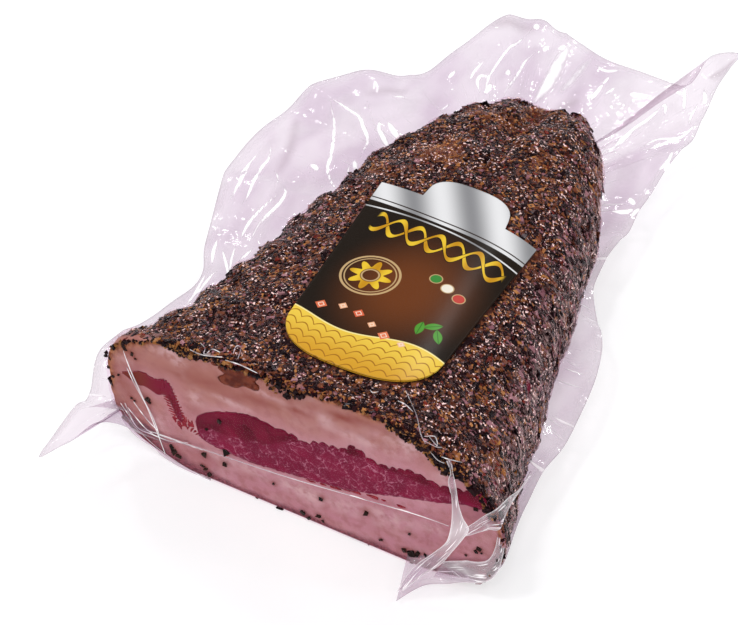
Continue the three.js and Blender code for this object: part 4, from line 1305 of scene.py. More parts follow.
def crease_band(path, half_width, count, white):
    """A narrow humped band along a path in the face: across it, half a sine lifts the middle."""
    line = smooth_curve(path, count)
    across = unit(np.cross(unit(np.gradient(line, axis=0)), [0.0, -1.0, 0.0]))
    share = np.linspace(-1, 1, CREASE_ROWS)[None, :, None]
    taper = np.sin(np.pi * np.linspace(0.02, 0.98, count))[:, None, None] ** CREASE_TAPER
    grid = line[:, None] + across[:, None] * share * half_width * taper
    grid[..., 1] -= CREASE_HUMP * (1 - share[..., 0] ** 2) * taper[..., 0]
    broken = white + CREASE_BROKEN * noise(np.arange(count), 0, size=CREASE_GAPS, seed=count)[:, None]
    return grid, broken * (1 - share[..., 0] ** 4)


fins = [ruled(*UPPER_FIN, 160, 26, 1.2, 41, (0.14, 0.14, 0.2, 0.34, 0.5, 0.4, 0.16, 0.1, 0.2)),
        ruled(*SIDE_FIN, 90, 16, 0.6, 42, (0.26, 0.14, 0.06, 0.06, 0.12, 0.1)),
        ruled(*HEM_FIN, 120, 12, 0.3, 43, (0.2, 0.25, 0.2)), ruled(*FOOT_FIN, 90, 10, 0.4, 44, (0.16, 0.1))]
bands = [crease_band(path, CREASE_HALF_WIDTH, 160 + i, CREASE_WHITE) for i, path in enumerate(FACE_CREASES)]
# Painted highlights along the top rim, made as crease bands.
bands += [crease_band(path, GLINT_HALF_WIDTH, 90 + i, GLINT_WHITE) for i, path in enumerate(RIM_GLINTS)]
sheets = [closed_sheet("", grid, FIN_THIN)[1:] for grid, _ in fins + bands]
film_pleats = new_piece("film_pleats", *joined(sheets))
paint(film_pleats, "milk", both_sides([milk for _, milk in fins + bands]))
for name, way in (("across", 1), ("along", 0)):
    steps = [np.diff(grid, axis=way, prepend=np.take(grid, [0], way)) for grid, _ in fins + bands]
    spans = [np.cumsum(np.linalg.norm(step, axis=-1), axis=way) for step in steps]
    paint(film_pleats, name, both_sides(spans))
print(len(fins), "fins and", len(bands), "creases and glints")

# %% [markdown]
# The paper label.
# It follows the jowl's top, so each of its points takes its height from the skin below, and it is
# thick enough to cast a fine edge shadow. Its own flat coordinates go into a UV map in millimetres
# divided by a hundred, and the print is worked out there from circles, waves and bands.

# %% Label sheet
LABEL_COLUMNS = 90
LABEL_ROWS = 120
UV_SCALE = 0.01

across = np.linspace(0, 1, LABEL_COLUMNS)[:, None]
up = np.linspace(0, 1, LABEL_ROWS)[None, :]
label_y = label_foot(across) + (label_head(across) - label_foot(across)) * up
label_x = label_left(label_y) + (LABEL_RIGHT - label_left(label_y)) * across
label_z = top_height(label_x, label_y) + LABEL_GAP + LABEL_THICKNESS / 2
label_grid = np.stack([label_x, label_y, label_z], -1)
paper_label = new_piece(*closed_sheet("paper_label", label_grid, LABEL_THICKNESS))
flat = np.stack([label_x - LABEL_LEFT, label_y - LABEL_FOOT], -1).reshape(-1, 2) * UV_SCALE
corner_of_loop = np.zeros(len(paper_label.data.loops), np.int32)
paper_label.data.loops.foreach_get("vertex_index", corner_of_loop)
uv = paper_label.data.uv_layers.new(name="print")
uv.data.foreach_set("uv", np.tile(flat, (2, 1))[corner_of_loop].astype(np.float32).ravel())
print("label height over the skin:", LABEL_GAP + LABEL_THICKNESS, "mm")

# %% [markdown]
# Tools for materials.
# A material is a small program of nodes. Here a node's output is wrapped as a wire, which can be added,
# subtracted and multiplied like a number, and each such sum becomes one Math node. So every material
# below reads like a formula. Colours are written as screen values and turned into light values by the
# usual power curve.

# %% Colours


def light(code):
    """A screen colour such as "a77c70" as linear red, green, blue and 1."""
    screen = np.array([int(code[i:i + 2], 16) for i in (0, 2, 4)]) / 255
    linear = np.where(screen <= 0.04045, screen / 12.92, ((screen + 0.055) / 1.055) ** 2.4)
    return (*linear.tolist(), 1.0)


print("the light values of a screen's middle grey:", np.round(light("808080"), 3))

# %% Wires


class Wire:
    """A node's output that works in sums: +, -, * and abs() each add one Math node to its tree."""

    def __init__(self, socket):
        self.socket = socket
        self.tree = socket.id_data

    def __add__(self, other):
        return calc("ADD", self, other)

    def __sub__(self, other):
        return calc("SUBTRACT", self, other)

    def __rsub__(self, other):
        return calc("SUBTRACT", other, self)

    def __mul__(self, other):
        return calc("MULTIPLY", self, other)

    def __abs__(self):
        return calc("ABSOLUTE", self)


# %% Node helpers


def add(tree, kind, inputs, **settings):
    """One node with its settings, and its inputs linked to wires or set to values."""
    made = tree.nodes.new("ShaderNode" + kind)
    for key, value in settings.items():
        setattr(made, key, value)
    for key, value in (inputs or {}).items():
        value = getattr(value, "socket", value)
        if isinstance(value, bpy.types.NodeSocket):
            tree.links.new(value, made.inputs[key])
        else:
            made.inputs[key].default_value = value
    return made


def wire(tree, kind, inputs=None, output=0, **settings):
    """One output of one new node, whose inputs may be left as they are."""
    return Wire(add(tree, kind, inputs, **settings).outputs[output])


def calc(operation, *values):
    """The result of one Math node, in the tree of the first wire among its values."""
    tree = next(value.tree for value in values if isinstance(value, Wire))
    return wire(tree, "Math", dict(enumerate(values)), operation=operation)


def most(first, *others):
    """The highest of several wires."""
    for other in others:
        first = calc("MAXIMUM", first, other)
    return first


def mixed(share, first, second):
    """Two colours blended by a share; each is a screen code, a wire or light values."""
    first, second = (light(c) if isinstance(c, str) else c for c in (first, second))
    return wire(share.tree, "Mix", {0: share, 6: first, 7: second}, output=2, data_type="RGBA")


def eased(value, low, high, start=0.0, end=1.0):
    """A value carried smoothly from one range to another."""
    limits = {0: value, 1: low, 2: high, 3: start, 4: end}
    return wire(value.tree, "MapRange", limits, interpolation_type="SMOOTHSTEP")


def painted(tree, name):
    """A number stored on the mesh."""
    return wire(tree, "Attribute", output="Fac", attribute_name=name)


def plan_of(vector, scale):
    """The first two coordinates of a vector, times a scale."""
    whole = wire(vector.tree, "VectorMath", {0: vector, "Scale": scale}, operation="SCALE")
    parts = add(vector.tree, "SeparateXYZ", {0: whole})
    return Wire(parts.outputs[0]), Wire(parts.outputs[1])


def new_material(name, **constants):
    """A material, its tree and its Principled shader with the given constant inputs."""
    material = bpy.data.materials.new(name)
    material.use_nodes = True
    shader = material.node_tree.nodes["Principled BSDF"]
    for key, value in constants.items():
        shader.inputs[key.replace("_", " ")].default_value = value
    return material, material.node_tree, shader


def feed(shader, **wires):
    """Links wires to a shader's inputs, whose names have underscores for spaces here."""
    for name, value in wires.items():
        shader.id_data.links.new(value.socket, shader.inputs[name.replace("_", " ")])


def set_surface(shader, colour, dull, dull_range, height, distance, strength=1.0):
    """Gives a shader its colour, a roughness that a mask carries between two numbers, and a bump whose
    height from 0 to 1 stands for a distance in millimetres."""
    bump = {"Height": height, "Distance": distance * MM, "Strength": strength}
    feed(shader, Base_Color=colour, Roughness=eased(dull, 0.0, 1.0, *dull_range),
         Normal=wire(shader.id_data, "Bump", bump))


# %% [markdown]
# Effects that several finishes share.
# Mottle is soft noise between two limits, and cells are rounded grains with a random number each and the
# distance to their edges. Both work in the jowl's millimetres, so a size means the same on every piece.
# They are node groups, because fat, lean, crust and film all use them with their own sizes.

# %% Shared node groups
STIR_SCALE = 1.2


def new_group(name, inputs, outputs):
    """An empty shader group with named numbers going in and out."""
    tree = bpy.data.node_groups.new(name, "ShaderNodeTree")
    for in_out, titles in (("INPUT", inputs), ("OUTPUT", outputs)):
        for title in titles:
            tree.interface.new_socket(name=title, in_out=in_out, socket_type="NodeSocketFloat")
    return tree, tree.nodes.new("NodeGroupInput").outputs, tree.nodes.new("NodeGroupOutput").inputs


def sized_place(tree, given):
    """The place on the object, stretched along the jowl and counted in the group's size."""
    place = wire(tree, "TexCoord", output="Object")
    squeeze = wire(tree, "CombineXYZ", {0: 1.0, 1: given["Stretch"], 2: 1.0})
    place = wire(tree, "VectorMath", {0: place, 1: squeeze}, operation="MULTIPLY")
    scale = calc("DIVIDE", 1 / MM, Wire(given["Size"]))
    return wire(tree, "VectorMath", {0: place, "Scale": scale}, operation="SCALE")


def mottle_group():
    """Noise of a size in millimetres, stretched along the jowl, spread between two limits."""
    tree, given, result = new_group("mottle", ("Size", "Stretch", "Low", "High", "Detail"), ("Mask",))
    inputs = {"Vector": sized_place(tree, given), "Scale": 1.0, "Detail": given["Detail"]}
    mask = eased(wire(tree, "TexNoise", inputs), given["Low"], given["High"])
    tree.links.new(mask.socket, result["Mask"])
    return tree


def cells_group():
    """Rounded cells of a size in millimetres: a random number for each, and the distance to its edge."""
    tree, given, result = new_group("cells", ("Size", "Stretch", "Warp"), ("Random", "Edge"))
    place = sized_place(tree, given)
    stir = wire(tree, "TexNoise", {"Vector": place, "Scale": STIR_SCALE, "Detail": 2.0}, output="Color")
    stir = wire(tree, "VectorMath", {0: stir, "Scale": given["Warp"]}, operation="SCALE")
    stirred = {"Vector": wire(tree, "VectorMath", {0: place, 1: stir}), "Scale": 1.0}
    tone = wire(tree, "TexVoronoi", stirred, output="Color")
    edge = wire(tree, "TexVoronoi", stirred, output="Distance", feature="DISTANCE_TO_EDGE")
    tree.links.new(wire(tree, "SeparateXYZ", {0: tone}).socket, result["Random"])
    tree.links.new(edge.socket, result["Edge"])
    return tree


MOTTLE, CELLS = mottle_group(), cells_group()


def mottled(tree, size, low=0.35, high=0.65, stretch=1.0, detail=3.0):
    """The mottle group with these values."""
    values = {"Size": size, "Low": low, "High": high, "Stretch": stretch, "Detail": detail}
    return wire(tree, "Group", values, node_tree=MOTTLE)


def celled(tree, size, stretch=1.0, warp=0.4):
    """The cells group with these values: its random number and its distance to the edge."""
    made = add(tree, "Group", {"Size": size, "Stretch": stretch, "Warp": warp}, node_tree=CELLS)
    return Wire(made.outputs["Random"]), Wire(made.outputs["Edge"])


print("node groups:", MOTTLE.name, "and", CELLS.name)

# %% [markdown]
# Fat, crust bed and rind.
# Cured fat is mauve pink in the depth and creamy where air and smoke reached it. It lets light in, so
# a little subsurface scattering softens every edge. The same skin carries on under the pepper as a
# bed of finer crumbs, which cells with random colours stand for, and underneath as brown rind.

# %% Fat and crust bed material
FAT_DEPTH = 0.0012
MEAT_SPECULAR = 0.04
CRUMB = 1.1


def fat_material():
    """Fat colours by the painted masks, then the crumb bed and the rind over them."""
    material, tree, shader = new_material("cured_fat", Subsurface_Weight=0.15, Subsurface_Scale=FAT_DEPTH,
                                          Subsurface_Radius=(1.0, 0.45, 0.35),
                                          Specular_IOR_Level=MEAT_SPECULAR)
    cloud = mottled(tree, 9.0, stretch=0.4)
    fat = mixed(painted(tree, "creamy") + cloud * 0.25, "c68d96", "b98476")
    fat = mixed(mottled(tree, 3.6, 0.42, 0.65) * 0.4, fat, "a2655f")
    fat = mixed(painted(tree, "halo") * 0.6, fat, "d8a4ac")
    fat = mixed(painted(tree, "pale") * mottled(tree, 2.6, 0.25, 0.6) * 0.8, fat, "e8cac8")
    fat = mixed(painted(tree, "stain"), fat, "93483a")
    fat = mixed(painted(tree, "honey"), fat, mixed(mottled(tree, 2.0), "84482a", "bc8058"))
    specks = mixed(mottled(tree, 0.8, 0.4, 0.6), "501c2a", "8a4450")
    fat = mixed(painted(tree, "dark_rim") * 0.85, fat, specks)
    crumb, crumb_edge = celled(tree, CRUMB)
    bed = mixed(eased(crumb, 0.25, 0.6), "180c0a", "45261d")
    bed = mixed(eased(crumb, 0.72, 0.9), bed, "7d5030")
    bed = mixed(mottled(tree, 14.0, 0.5, 0.7) * 0.55, bed, "6d4436")
    bed = mixed(painted(tree, "pale_bed") * mottled(tree, 1.7, 0.3, 0.6) * 0.8, bed, "a07a72")
    bed = mixed(painted(tree, "rind"), bed, mixed(mottled(tree, 5.0), "6a3d24", "93623a"))
    crusted = painted(tree, "crust")
    relief = crusted * crumb_edge + cloud * 0.1
    set_surface(shader, mixed(crusted, fat, bed), crusted, (0.42, 0.65), relief, 0.7, 0.8)
    return material


jowl_fat.data.materials.append(fat_material())
print("cured_fat has", len(jowl_fat.data.materials[0].node_tree.nodes), "nodes")

# %% [markdown]
# Lean meat.
# Muscle is a bundle of fibres that run along the jowl, so in the cut it shows as cells parted by thin
# pale veins of fat. Stretching the cells along the jowl keeps the pattern true through the whole
# piece. Towards the edge of the lean the colour pales, as fat mixes in.

# %% Lean material
LEAN_DEPTH = 0.0008
ALONG_FIBRES = 0.15


def lean_material(name, dark, bright, vein_share, cell):
    """Cells of two reds, pale veins at their edges where a mottle allows, and a pale rim."""
    material, tree, shader = new_material(name, Subsurface_Weight=0.04, Subsurface_Scale=LEAN_DEPTH,
                                          Subsurface_Radius=(1.0, 0.3, 0.3),
                                          Specular_IOR_Level=MEAT_SPECULAR)
    bundle, bundle_edge = celled(tree, cell, ALONG_FIBRES, warp=0.8)
    _, thread_edge = celled(tree, cell * 0.45, ALONG_FIBRES, warp=1.3)
    fibre = mottled(tree, 0.7, 0.3, 0.7, stretch=0.1)
    broad = mottled(tree, 11.0, stretch=ALONG_FIBRES)
    ragged = mottled(tree, 0.9, 0.35, 0.6, ALONG_FIBRES)
    veined = painted(tree, "veined")
    open_veins = mottled(tree, 4.0, vein_share, vein_share + 0.1, stretch=0.2) * (veined * 0.95 + 0.05)
    vein = eased(bundle_edge, 0.06, 0.0) * open_veins * ragged
    thread = eased(thread_edge, 0.08, 0.0) * open_veins * ragged
    blotch = mottled(tree, 1.7, 0.6, 0.72, stretch=0.2) * veined * open_veins
    rim = eased(painted(tree, "from_edge"), 0.4, 0.0) * ragged
    red = mixed((bundle + broad) * 0.5, dark, bright)
    red = mixed(fibre * 0.25, red, "8e2a4c")
    red = mixed(veined * 0.35, red, "9c2a52")
    red = mixed(most(vein * 0.95, thread * 0.35), red, "c47e94")
    red = mixed(blotch * 0.45, red, "ba7088")
    red = mixed(painted(tree, "browned") * 0.8, red, "7c3a26")
    red = mixed(rim * 0.5, red, "a85a70")
    set_surface(shader, red, fibre, (0.35, 0.5), bundle_edge, 0.25, 0.4)
    return material


def browned_material(name, dark, bright):
    """Dried lean: two browns mottled finely, smoother in the dark places."""
    material, tree, shader = new_material(name, Subsurface_Weight=0.15, Subsurface_Scale=0.001,
                                          Specular_IOR_Level=MEAT_SPECULAR)
    blot = mottled(tree, 2.2)
    set_surface(shader, mixed(blot, dark, bright), blot, (0.35, 0.5), mottled(tree, 0.9), 0.1)
    return material


for piece, material in (
        (lean_pieces["muscle_meat"], lean_material("dark_muscle", "4c0010", "841434", 0.42, 4.4)),
        (lean_pieces["streak_meat"], lean_material("streak_muscle", "7a1420", "86163a", 0.5, 2.4)),
        (browned_island, browned_material("browned_lean", "5a2414", "84442e")),
        (red_threads, browned_material("thread_lean", "86182a", "a83c44"))):
    piece.data.materials.append(material)
    print(piece.name, "is finished as", material.name)

# %% [markdown]
# Pepper finishes.
# One finish serves every kind of grain with its own pair of colours. Each grain's painted tint picks
# a tone between the two, and finer mottle breaks it up. A thin coat stands for the oil that pepper
# takes from the fat, and it makes the facets glint.

# %% Pepper materials


def pepper_material(kind, dark, bright):
    """Two tones by grain, a fine mottle, and glints from a thin coat."""
    material, tree, shader = new_material("pepper_" + kind + "_finish", Coat_Weight=0.08,
                                          Coat_Roughness=0.1, Specular_IOR_Level=0.05)
    speck = mottled(tree, 0.6)
    tone = mixed(painted(tree, "tint"), dark, bright)
    set_surface(shader, mixed(speck * 0.35, tone, dark), speck, (0.4, 0.7), speck, 0.12)
    return material


PEPPER_TONES = {
    "black": ("0c0307", "2c0f14"), "brown": ("4a1e14", "92583a"), "tan": ("8a5028", "d89a58"),
    "red": ("5a180e", "9a3a2a"), "plum": ("70424c", "c8949a"), "honey": ("643619", "c08650"),
    "bit": ("160c0a", "38241a"),
}
pepper_finish = {kind: pepper_material(kind, *tones) for kind, tones in PEPPER_TONES.items()}
for kind, piece in (*pepper.items(), ("black", rim_black), ("honey", rim_golden), ("bit", face_bits)):
    piece.data.materials.append(pepper_finish[kind])
print("pepper finishes:", ", ".join(pepper_finish))

# %% [markdown]
# Film finishes.
# Clear film is nearly nothing: what shows is a faint lilac tint, thin bright streaks where it turns
# towards a light, and white where it is creased. So the shader lets light straight through with a tint,
# mixes in pale diffuse by a mask, and lays a sharp gloss over both by Fresnel on its outer side only, as
# the inner side would reflect everything. The bright streaks and glints are painted highlights in that
# mask, and where the mask is strong the film also glows by emission, a painted light. Refraction would
# be truer, but grainy and much slower.

# %% Film shader
FILM_IOR = 1.26
# Veil shares over which the film's painted glow fades in.
VEIL_GLOWS = (0.35, 0.8)
print("film bends light by an index of", FILM_IOR)


def film_material(name, tint, veil, tone, crest, bump, distance, gloss, glow, shine=lambda tree: 1.0):
    """Tinted and clear, to pale where the veil mask is, under a Fresnel gloss. Where the veil is strong the
    pale colour also glows, a painted light for the film's bright streaks and glints. The functions tint,
    veil, bump and shine give the outputs of this material's own tree."""
    material, tree, shader = new_material(name, Roughness=0.5, Specular_IOR_Level=0.1,
                                          Emission_Strength=glow)
    place = wire(tree, "Bump", {"Height": bump(tree), "Distance": distance * MM, "Strength": 1.0})
    share = veil(tree)
    # Painted glow: where the veil share is high the crest colour also shines by emission, standing in for
    # highlights.
    feed(shader, Base_Color=mixed(share, tone, crest),
         Emission_Color=mixed(eased(share, *VEIL_GLOWS), "000000", crest))
    through = wire(tree, "BsdfTransparent", {"Color": tint(tree)})
    body = wire(tree, "MixShader", {0: share, 1: through, 2: shader.outputs[0]})
    mirror = wire(tree, "BsdfGlossy", {"Roughness": gloss, "Normal": place, "Color": light("ffffff")})
    fresnel = wire(tree, "Fresnel", {"IOR": FILM_IOR, "Normal": place})
    outside = 1.0 - wire(tree, "NewGeometry", output="Backfacing")
    whole = wire(tree, "MixShader", {0: fresnel * outside * shine(tree), 1: body, 2: mirror})
    tree.links.new(whole.socket, tree.nodes["Material Output"].inputs["Surface"])
    return material


def grid_noise(across, along, size, stretch, detail=1.0, shift=0.0):
    """Noise on two lengths in millimetres, stretched along the second."""
    place = {0: across * (1 / size) + shift, 1: along * (1 / (size * stretch))}
    place = wire(across.tree, "CombineXYZ", place)
    return wire(across.tree, "TexNoise", {"Vector": place, "Scale": 1.0, "Detail": detail})


def jowl_plan(tree):
    """The place on the object in millimetres: across and along."""
    return plan_of(wire(tree, "TexCoord", output="Object"), 1 / MM)


# %% Tight film's masks
WET_SHINE = 0.1
GRAIN_SHINE = 0.25
print("the film's shine over grains is", GRAIN_SHINE)


def tight_veil_and_glints(tree):
    """Soft mauve marks down the steep sides in broad patches, partly stretch marks in the film and partly
    painted haze of reflected light, and painted highlights where the film lies over grains: wet glints from
    small crests of two noises, over a duller painted sheen that is stronger on the steep sides."""
    steep = painted(tree, "steep")
    fine = grid_noise(jowl_plan(tree)[1], painted(tree, "around"), 1.6, 4.0, detail=2.0)
    patch = mottled(tree, 13.0, 0.3, 0.6)
    marks = steep * eased(fine, 0.48, 0.72) * eased(patch, 0.0, 1.0, 0.25, 0.6)
    # Painted highlights: wet glints, and a painted sheen that is stronger on the steep sides.
    glints = mottled(tree, 0.95, 0.6, 0.65, detail=2.0) * mottled(tree, 5.0, 0.4, 0.56)
    sheen = mottled(tree, 1.4, 0.5, 0.66, detail=2.0) * (steep * 0.28 + 0.1)
    return most(marks, painted(tree, "lumpy") * most(sheen, glints * 0.9))


def tight_shine(tree):
    """A quarter of the gloss over grains, and a tenth where the film lies wet on the cut meat."""
    return painted(tree, "lumpy") * (GRAIN_SHINE - WET_SHINE) + WET_SHINE


def tight_bump(tree):
    """Pillows of a grain's size where the film lies over grains."""
    return mottled(tree, 1.5, 0.2, 0.8, detail=2.0) * painted(tree, "lumpy")


# %% Loose film's masks


def loose_veil_and_highlights(tree):
    """Painted highlights, streaks broken up by noise, broad faint glare patches and a line of glints along
    the rim, and creases that run out from the root."""
    x, y = jowl_plan(tree)
    depth = painted(tree, "depth")
    broken = eased(grid_noise(x, y, 3.0, 1.5, detail=2.0), 0.3, 0.6, 0.75, 1.0)
    # Painted highlights: the painted streaks, the broad glare patches and the glints along the rim. The fan
    # is creased film.
    streaks = eased(painted(tree, "white"), 0.58, 0.82) * broken
    fan = eased(grid_noise(painted(tree, "run"), depth, 2.2, 9.0), 0.62, 0.76)
    fan = fan * eased(depth, 34.0, 6.0, 0.1, 0.7)
    broad = eased(grid_noise(x, y, 15.0, 1.8, shift=1.7), 0.5, 0.68)
    rim = eased(painted(tree, "to_rim"), 5.0, 1.0) * broken
    return most(streaks, fan, broad * 0.2, rim * 0.35) * 0.9 + 0.02


def loose_tint(tree):
    """Greyish lilac with a slow change, paler where doubled, greyer in the painted shade along folds and at
    the rim.
    """
    slow = mixed(eased(grid_noise(*jowl_plan(tree), 18.0, 1.8, detail=2.0), 0.3, 0.65), "ece3eb", "f6f1f5")
    slow = mixed(painted(tree, "doubled"), slow, "f9f5f8")
    edge = eased(painted(tree, "to_rim"), 0.6, 0.1)
    # Painted shade: the fold strokes and the rim darken the tint.
    dark = most(eased(painted(tree, "grey"), 0.4, 1.0, 0.0, 0.6), edge * 0.35)
    return mixed(dark, slow, "d6ccd2")


def pleat_veil(tree):
    """The painted milkiness, and thin white lines along the fold where noise across it is high."""
    lines = grid_noise(painted(tree, "across"), painted(tree, "along"), 0.7, 16.0)
    return most(painted(tree, "milk"), eased(lines, 0.56, 0.68, 0.0, 0.75))


# %% Film materials
# Tone is the pale colour where the veil is partly full and crest where it is full. Crest is also the colour
# of the painted glow, and on the tight film the pinkish white of its painted glints.
FILMS = {
    tight_film: dict(name="tight_film_finish", tint=lambda tree: light("fcf6fa"), veil=tight_veil_and_glints,
                     tone="c09a9a", crest="f0ccc8", bump=tight_bump, distance=0.5, gloss=0.09, glow=0.45,
                     shine=tight_shine),
    loose_film: dict(name="loose_film_finish", tint=loose_tint, veil=loose_veil_and_highlights, tone="f2eaf2",
                     crest="ffffff", bump=lambda tree: mottled(tree, 7.0, 0.2, 0.8, detail=2.0),
                     distance=0.35, gloss=0.08, glow=0.3),
    film_pleats: dict(name="pleat_finish", tint=lambda tree: light("f4edf3"), veil=pleat_veil,
                      tone="ecdfe3", crest="ffffff", bump=lambda tree: mottled(tree, 3.0, 0.2, 0.8),
                      distance=0.2, gloss=0.08, glow=0.3),
}
for piece, values in FILMS.items():
    piece.data.materials.append(film_material(**values))
    print(piece.name, "is finished as", values["name"])

# %% [markdown]
# The label's print.
# Printed paper is flat colour with crisp edges. Each motif is a distance worked out from the label's
# own millimetres, turned into a mask by a narrow smooth step, and the motifs are laid over each other
# from the ground up, as a printer lays down inks.

# %% Print tools
INK_EDGE = 0.12
print("the edge of a print is", 2 * INK_EDGE, "mm soft")


def inked(distance, width):
    """1 where a distance is below a width, with a crisp smooth edge."""
    return eased(distance, width + INK_EDGE, width - INK_EDGE)


def from_point(x, y, centre, stretch=1.0):
    """Distance from a centre, with the height counted a number of times."""
    dx, dy = x - centre[0], (y - centre[1]) * stretch
    return calc("SQRT", dx * dx + dy * dy)


def sine(value, wavelength, height, phase=0.0):
    """A sine of a value with a wavelength and a height."""
    return calc("SINE", value * (TURN / wavelength) + phase) * height


# %% Badge and field
BADGE = (15.5, 46.0)
BADGE_RINGS = ((10.2, 0.42), (8.9, 0.22), (3.0, 0.3))
PETALS = 8.0
PETAL_REACH = 6.1
PETAL_WAVE = 1.7
PETAL_FROM = 3.4
PETAL_BLEND = 0.3
FIELD_LEVEL = 19.0
FIELD_ROWS = 5
FIELD_ROW_STEP = 3.6
RING_GOLD = "c9a878"
print("the badge has", round(PETALS), "petals and", len(BADGE_RINGS), "rings")


def badge_layers(x, y, gold):
    """A round badge: rings, eight petals whose reach is a cosine of the angle, and an eye."""
    ring = from_point(x, y, BADGE)
    for radius, width in BADGE_RINGS:
        yield inked(abs(ring - radius), width), RING_GOLD
    angle = calc("ARCTAN2", y - BADGE[1], x - BADGE[0])
    reach = calc("COSINE", angle * PETALS) * PETAL_WAVE + PETAL_REACH
    yield inked(ring - reach, 0.0) * eased(ring, PETAL_FROM, PETAL_FROM + PETAL_BLEND), gold


def field_layers(x, y):
    """A yellow field below a long wave, lined with rows of small arches: the absolute sine of x."""
    hill = y - sine(x, 52.0, 2.6, 2.2)
    field = inked(hill, FIELD_LEVEL)
    yield field, mixed(eased(y, 2.0, 20.0), "d9a02a", "f3cf4c")
    arch = abs(sine(x, 11.0, 2.1))
    for row in range(FIELD_ROWS):
        level = hill - arch - (1.0 + FIELD_ROW_STEP * row)
        yield inked(abs(level), 0.28) * field, "a8701a"
    yield inked(abs(hill - FIELD_LEVEL), 0.3), "fbe9a0"


# %% Small motifs
# x, y, half size and colour of each diamond; x, y and turn of each leaf; x, y and colour of each button.
DIAMONDS = [(8.0, 25.0, 2.3, "e0714a"), (15.0, 27.5, 1.8, "f3b48c"), (21.5, 26.5, 2.2, "dc6440"),
            (28.0, 23.5, 1.7, "f3b48c"), (34.0, 20.5, 2.3, "e77f57"), (41.0, 19.5, 1.6, "f6c4a0")]
LEAVES = [(46.0, 33.0, 0.9), (42.5, 30.0, -0.1), (49.5, 29.5, 2.6)]
LEAF_WIDTH = 1.5
LEAF_TAPER = -0.13
BUTTONS = [(36.0, 55.0, "3c8a3a"), (41.5, 52.5, "f2ecdc"), (47.0, 50.0, "c33428")]
BUTTON_RADIUS = 2.1
print(len(DIAMONDS), "diamonds,", len(LEAVES), "leaves and", len(BUTTONS), "buttons")


def small_motifs(x, y):
    """Diamonds, a sprig of three leaves and three round buttons."""
    for cx, cy, size, tone in DIAMONDS:
        lozenge = abs(x - cx) + abs(y - cy)
        yield inked(lozenge, size), tone
        yield inked(abs(lozenge - size * 0.5), 0.2), "fbe3d0"
    for cx, cy, turn in LEAVES:
        dx, dy = x - cx, y - cy
        across = abs(dx * math.cos(turn) - dy * math.sin(turn))
        along = dx * math.sin(turn) + dy * math.cos(turn)
        leaf = inked(across - (along * along * LEAF_TAPER + LEAF_WIDTH), 0.0)
        yield leaf, "4f9a2f"
        yield inked(across, 0.15) * leaf, "2e6a1e"
    for cx, cy, tone in BUTTONS:
        disc = from_point(x, y, (cx, cy))
        yield inked(disc, BUTTON_RADIUS), tone
        yield inked(abs(disc - BUTTON_RADIUS - 0.1), 0.18), RING_GOLD


# %% Braid, rule and silver head
HEAD_BAND = 84.0
HEAD_SLOPE = 0.09
BRAID_LEVEL = 74.0
BRAID_LENGTH = 15.5
RULE_LEVEL = 81.0
print("the silver head starts", HEAD_BAND, "mm up")


def head_layers(x, y, gold):
    """A gold braid of two crossing sines, a thin rule, and the silver head that slants a little, with a
    painted sheen across the silver.
    """
    head = y + x * HEAD_SLOPE
    # Painted sheen: the silver runs between dark and light grey in slantwise sine bands, standing for light
    # reflected by foil.
    silver = mixed(sine(x + y * 0.6, 23.0, 0.5) + 0.5, "8f8f92", "ececee")
    inset = eased(x, 2.0, 3.5) * eased(x, 55.0, 53.5)
    for phase in (0.0, math.pi):
        strand = sine(x, BRAID_LENGTH, 4.6, phase) + BRAID_LEVEL
        width = sine(x, BRAID_LENGTH / 2, 0.35, phase) + 1.15
        gap = abs(head - strand) - width
        yield inked(gap, 0.35) * inset, "120700"
        yield inked(gap, -0.1) * inset, gold
    yield inked(abs(head - (sine(x, 90.0, 1.5) + RULE_LEVEL)), 0.35), silver
    yield eased(head, HEAD_BAND, HEAD_BAND + 0.3), silver
    yield inked(abs(head - (HEAD_BAND + 2.0)), 0.3), "2a1a10"


# %% Label material


def label_layers(x, y):
    """All inks from the ground up: each is a mask and a colour."""
    gold = mixed(sine(x, 9.0, 0.5) + 0.5, "c98f12", "f0c934")
    yield eased(from_point(x, y, (30.0, 45.0), 0.8), 31.0, 4.0), "6d3712"
    yield from field_layers(x, y)
    yield from small_motifs(x, y)
    yield from badge_layers(x, y, gold)
    yield from head_layers(x, y, gold)


def label_material():
    """Inks over near-black paper, with a satin varnish and paper grain."""
    material, tree, shader = new_material("printed_label", Coat_Weight=0.08, Coat_Roughness=0.2,
                                          Specular_IOR_Level=0.08)
    colour = light("190d02")
    for mask, tone in label_layers(*plan_of(wire(tree, "UVMap", uv_map="print"), 1 / UV_SCALE)):
        colour = mixed(mask, colour, tone)
    grain = mottled(tree, 0.5)
    set_surface(shader, colour, grain, (0.34, 0.42), grain, 0.02)
    return material


paper_label.data.materials.append(label_material())
print("the print has", len(paper_label.data.materials[0].node_tree.nodes), "nodes")

# %% [markdown]
# Which piece stands for which solid.
# Nothing in this food moves against anything else, so every piece rides on the one body. The fat, the
# two lean solids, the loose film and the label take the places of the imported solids.

# %% Tie pieces to the frame
ROLES = {
    jowl_fat: ("crust", ["cured_jowl"]),
    lean_pieces["muscle_meat"]: ("lean", ["lean_muscle"]),
    lean_pieces["streak_meat"]: ("lean", ["lean_streak"]),
    browned_island: ("lean", []),
    red_threads: ("lean", []),
    **{piece: ("crust", []) for piece in (*pepper.values(), rim_black, rim_golden, face_bits)},
    tight_film: ("film", []),
    loose_film: ("film", ["vacuum_film"]),
    film_pleats: ("film", []),
    paper_label: ("label", ["label"]),
}
for piece, (slot, nodes) in ROLES.items():
    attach(piece, "root")
    if nodes:
        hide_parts(*nodes)
print("pieces:", len(ROLES), "triangles in all:", sum(len(p.data.polygons) for p in ROLES))

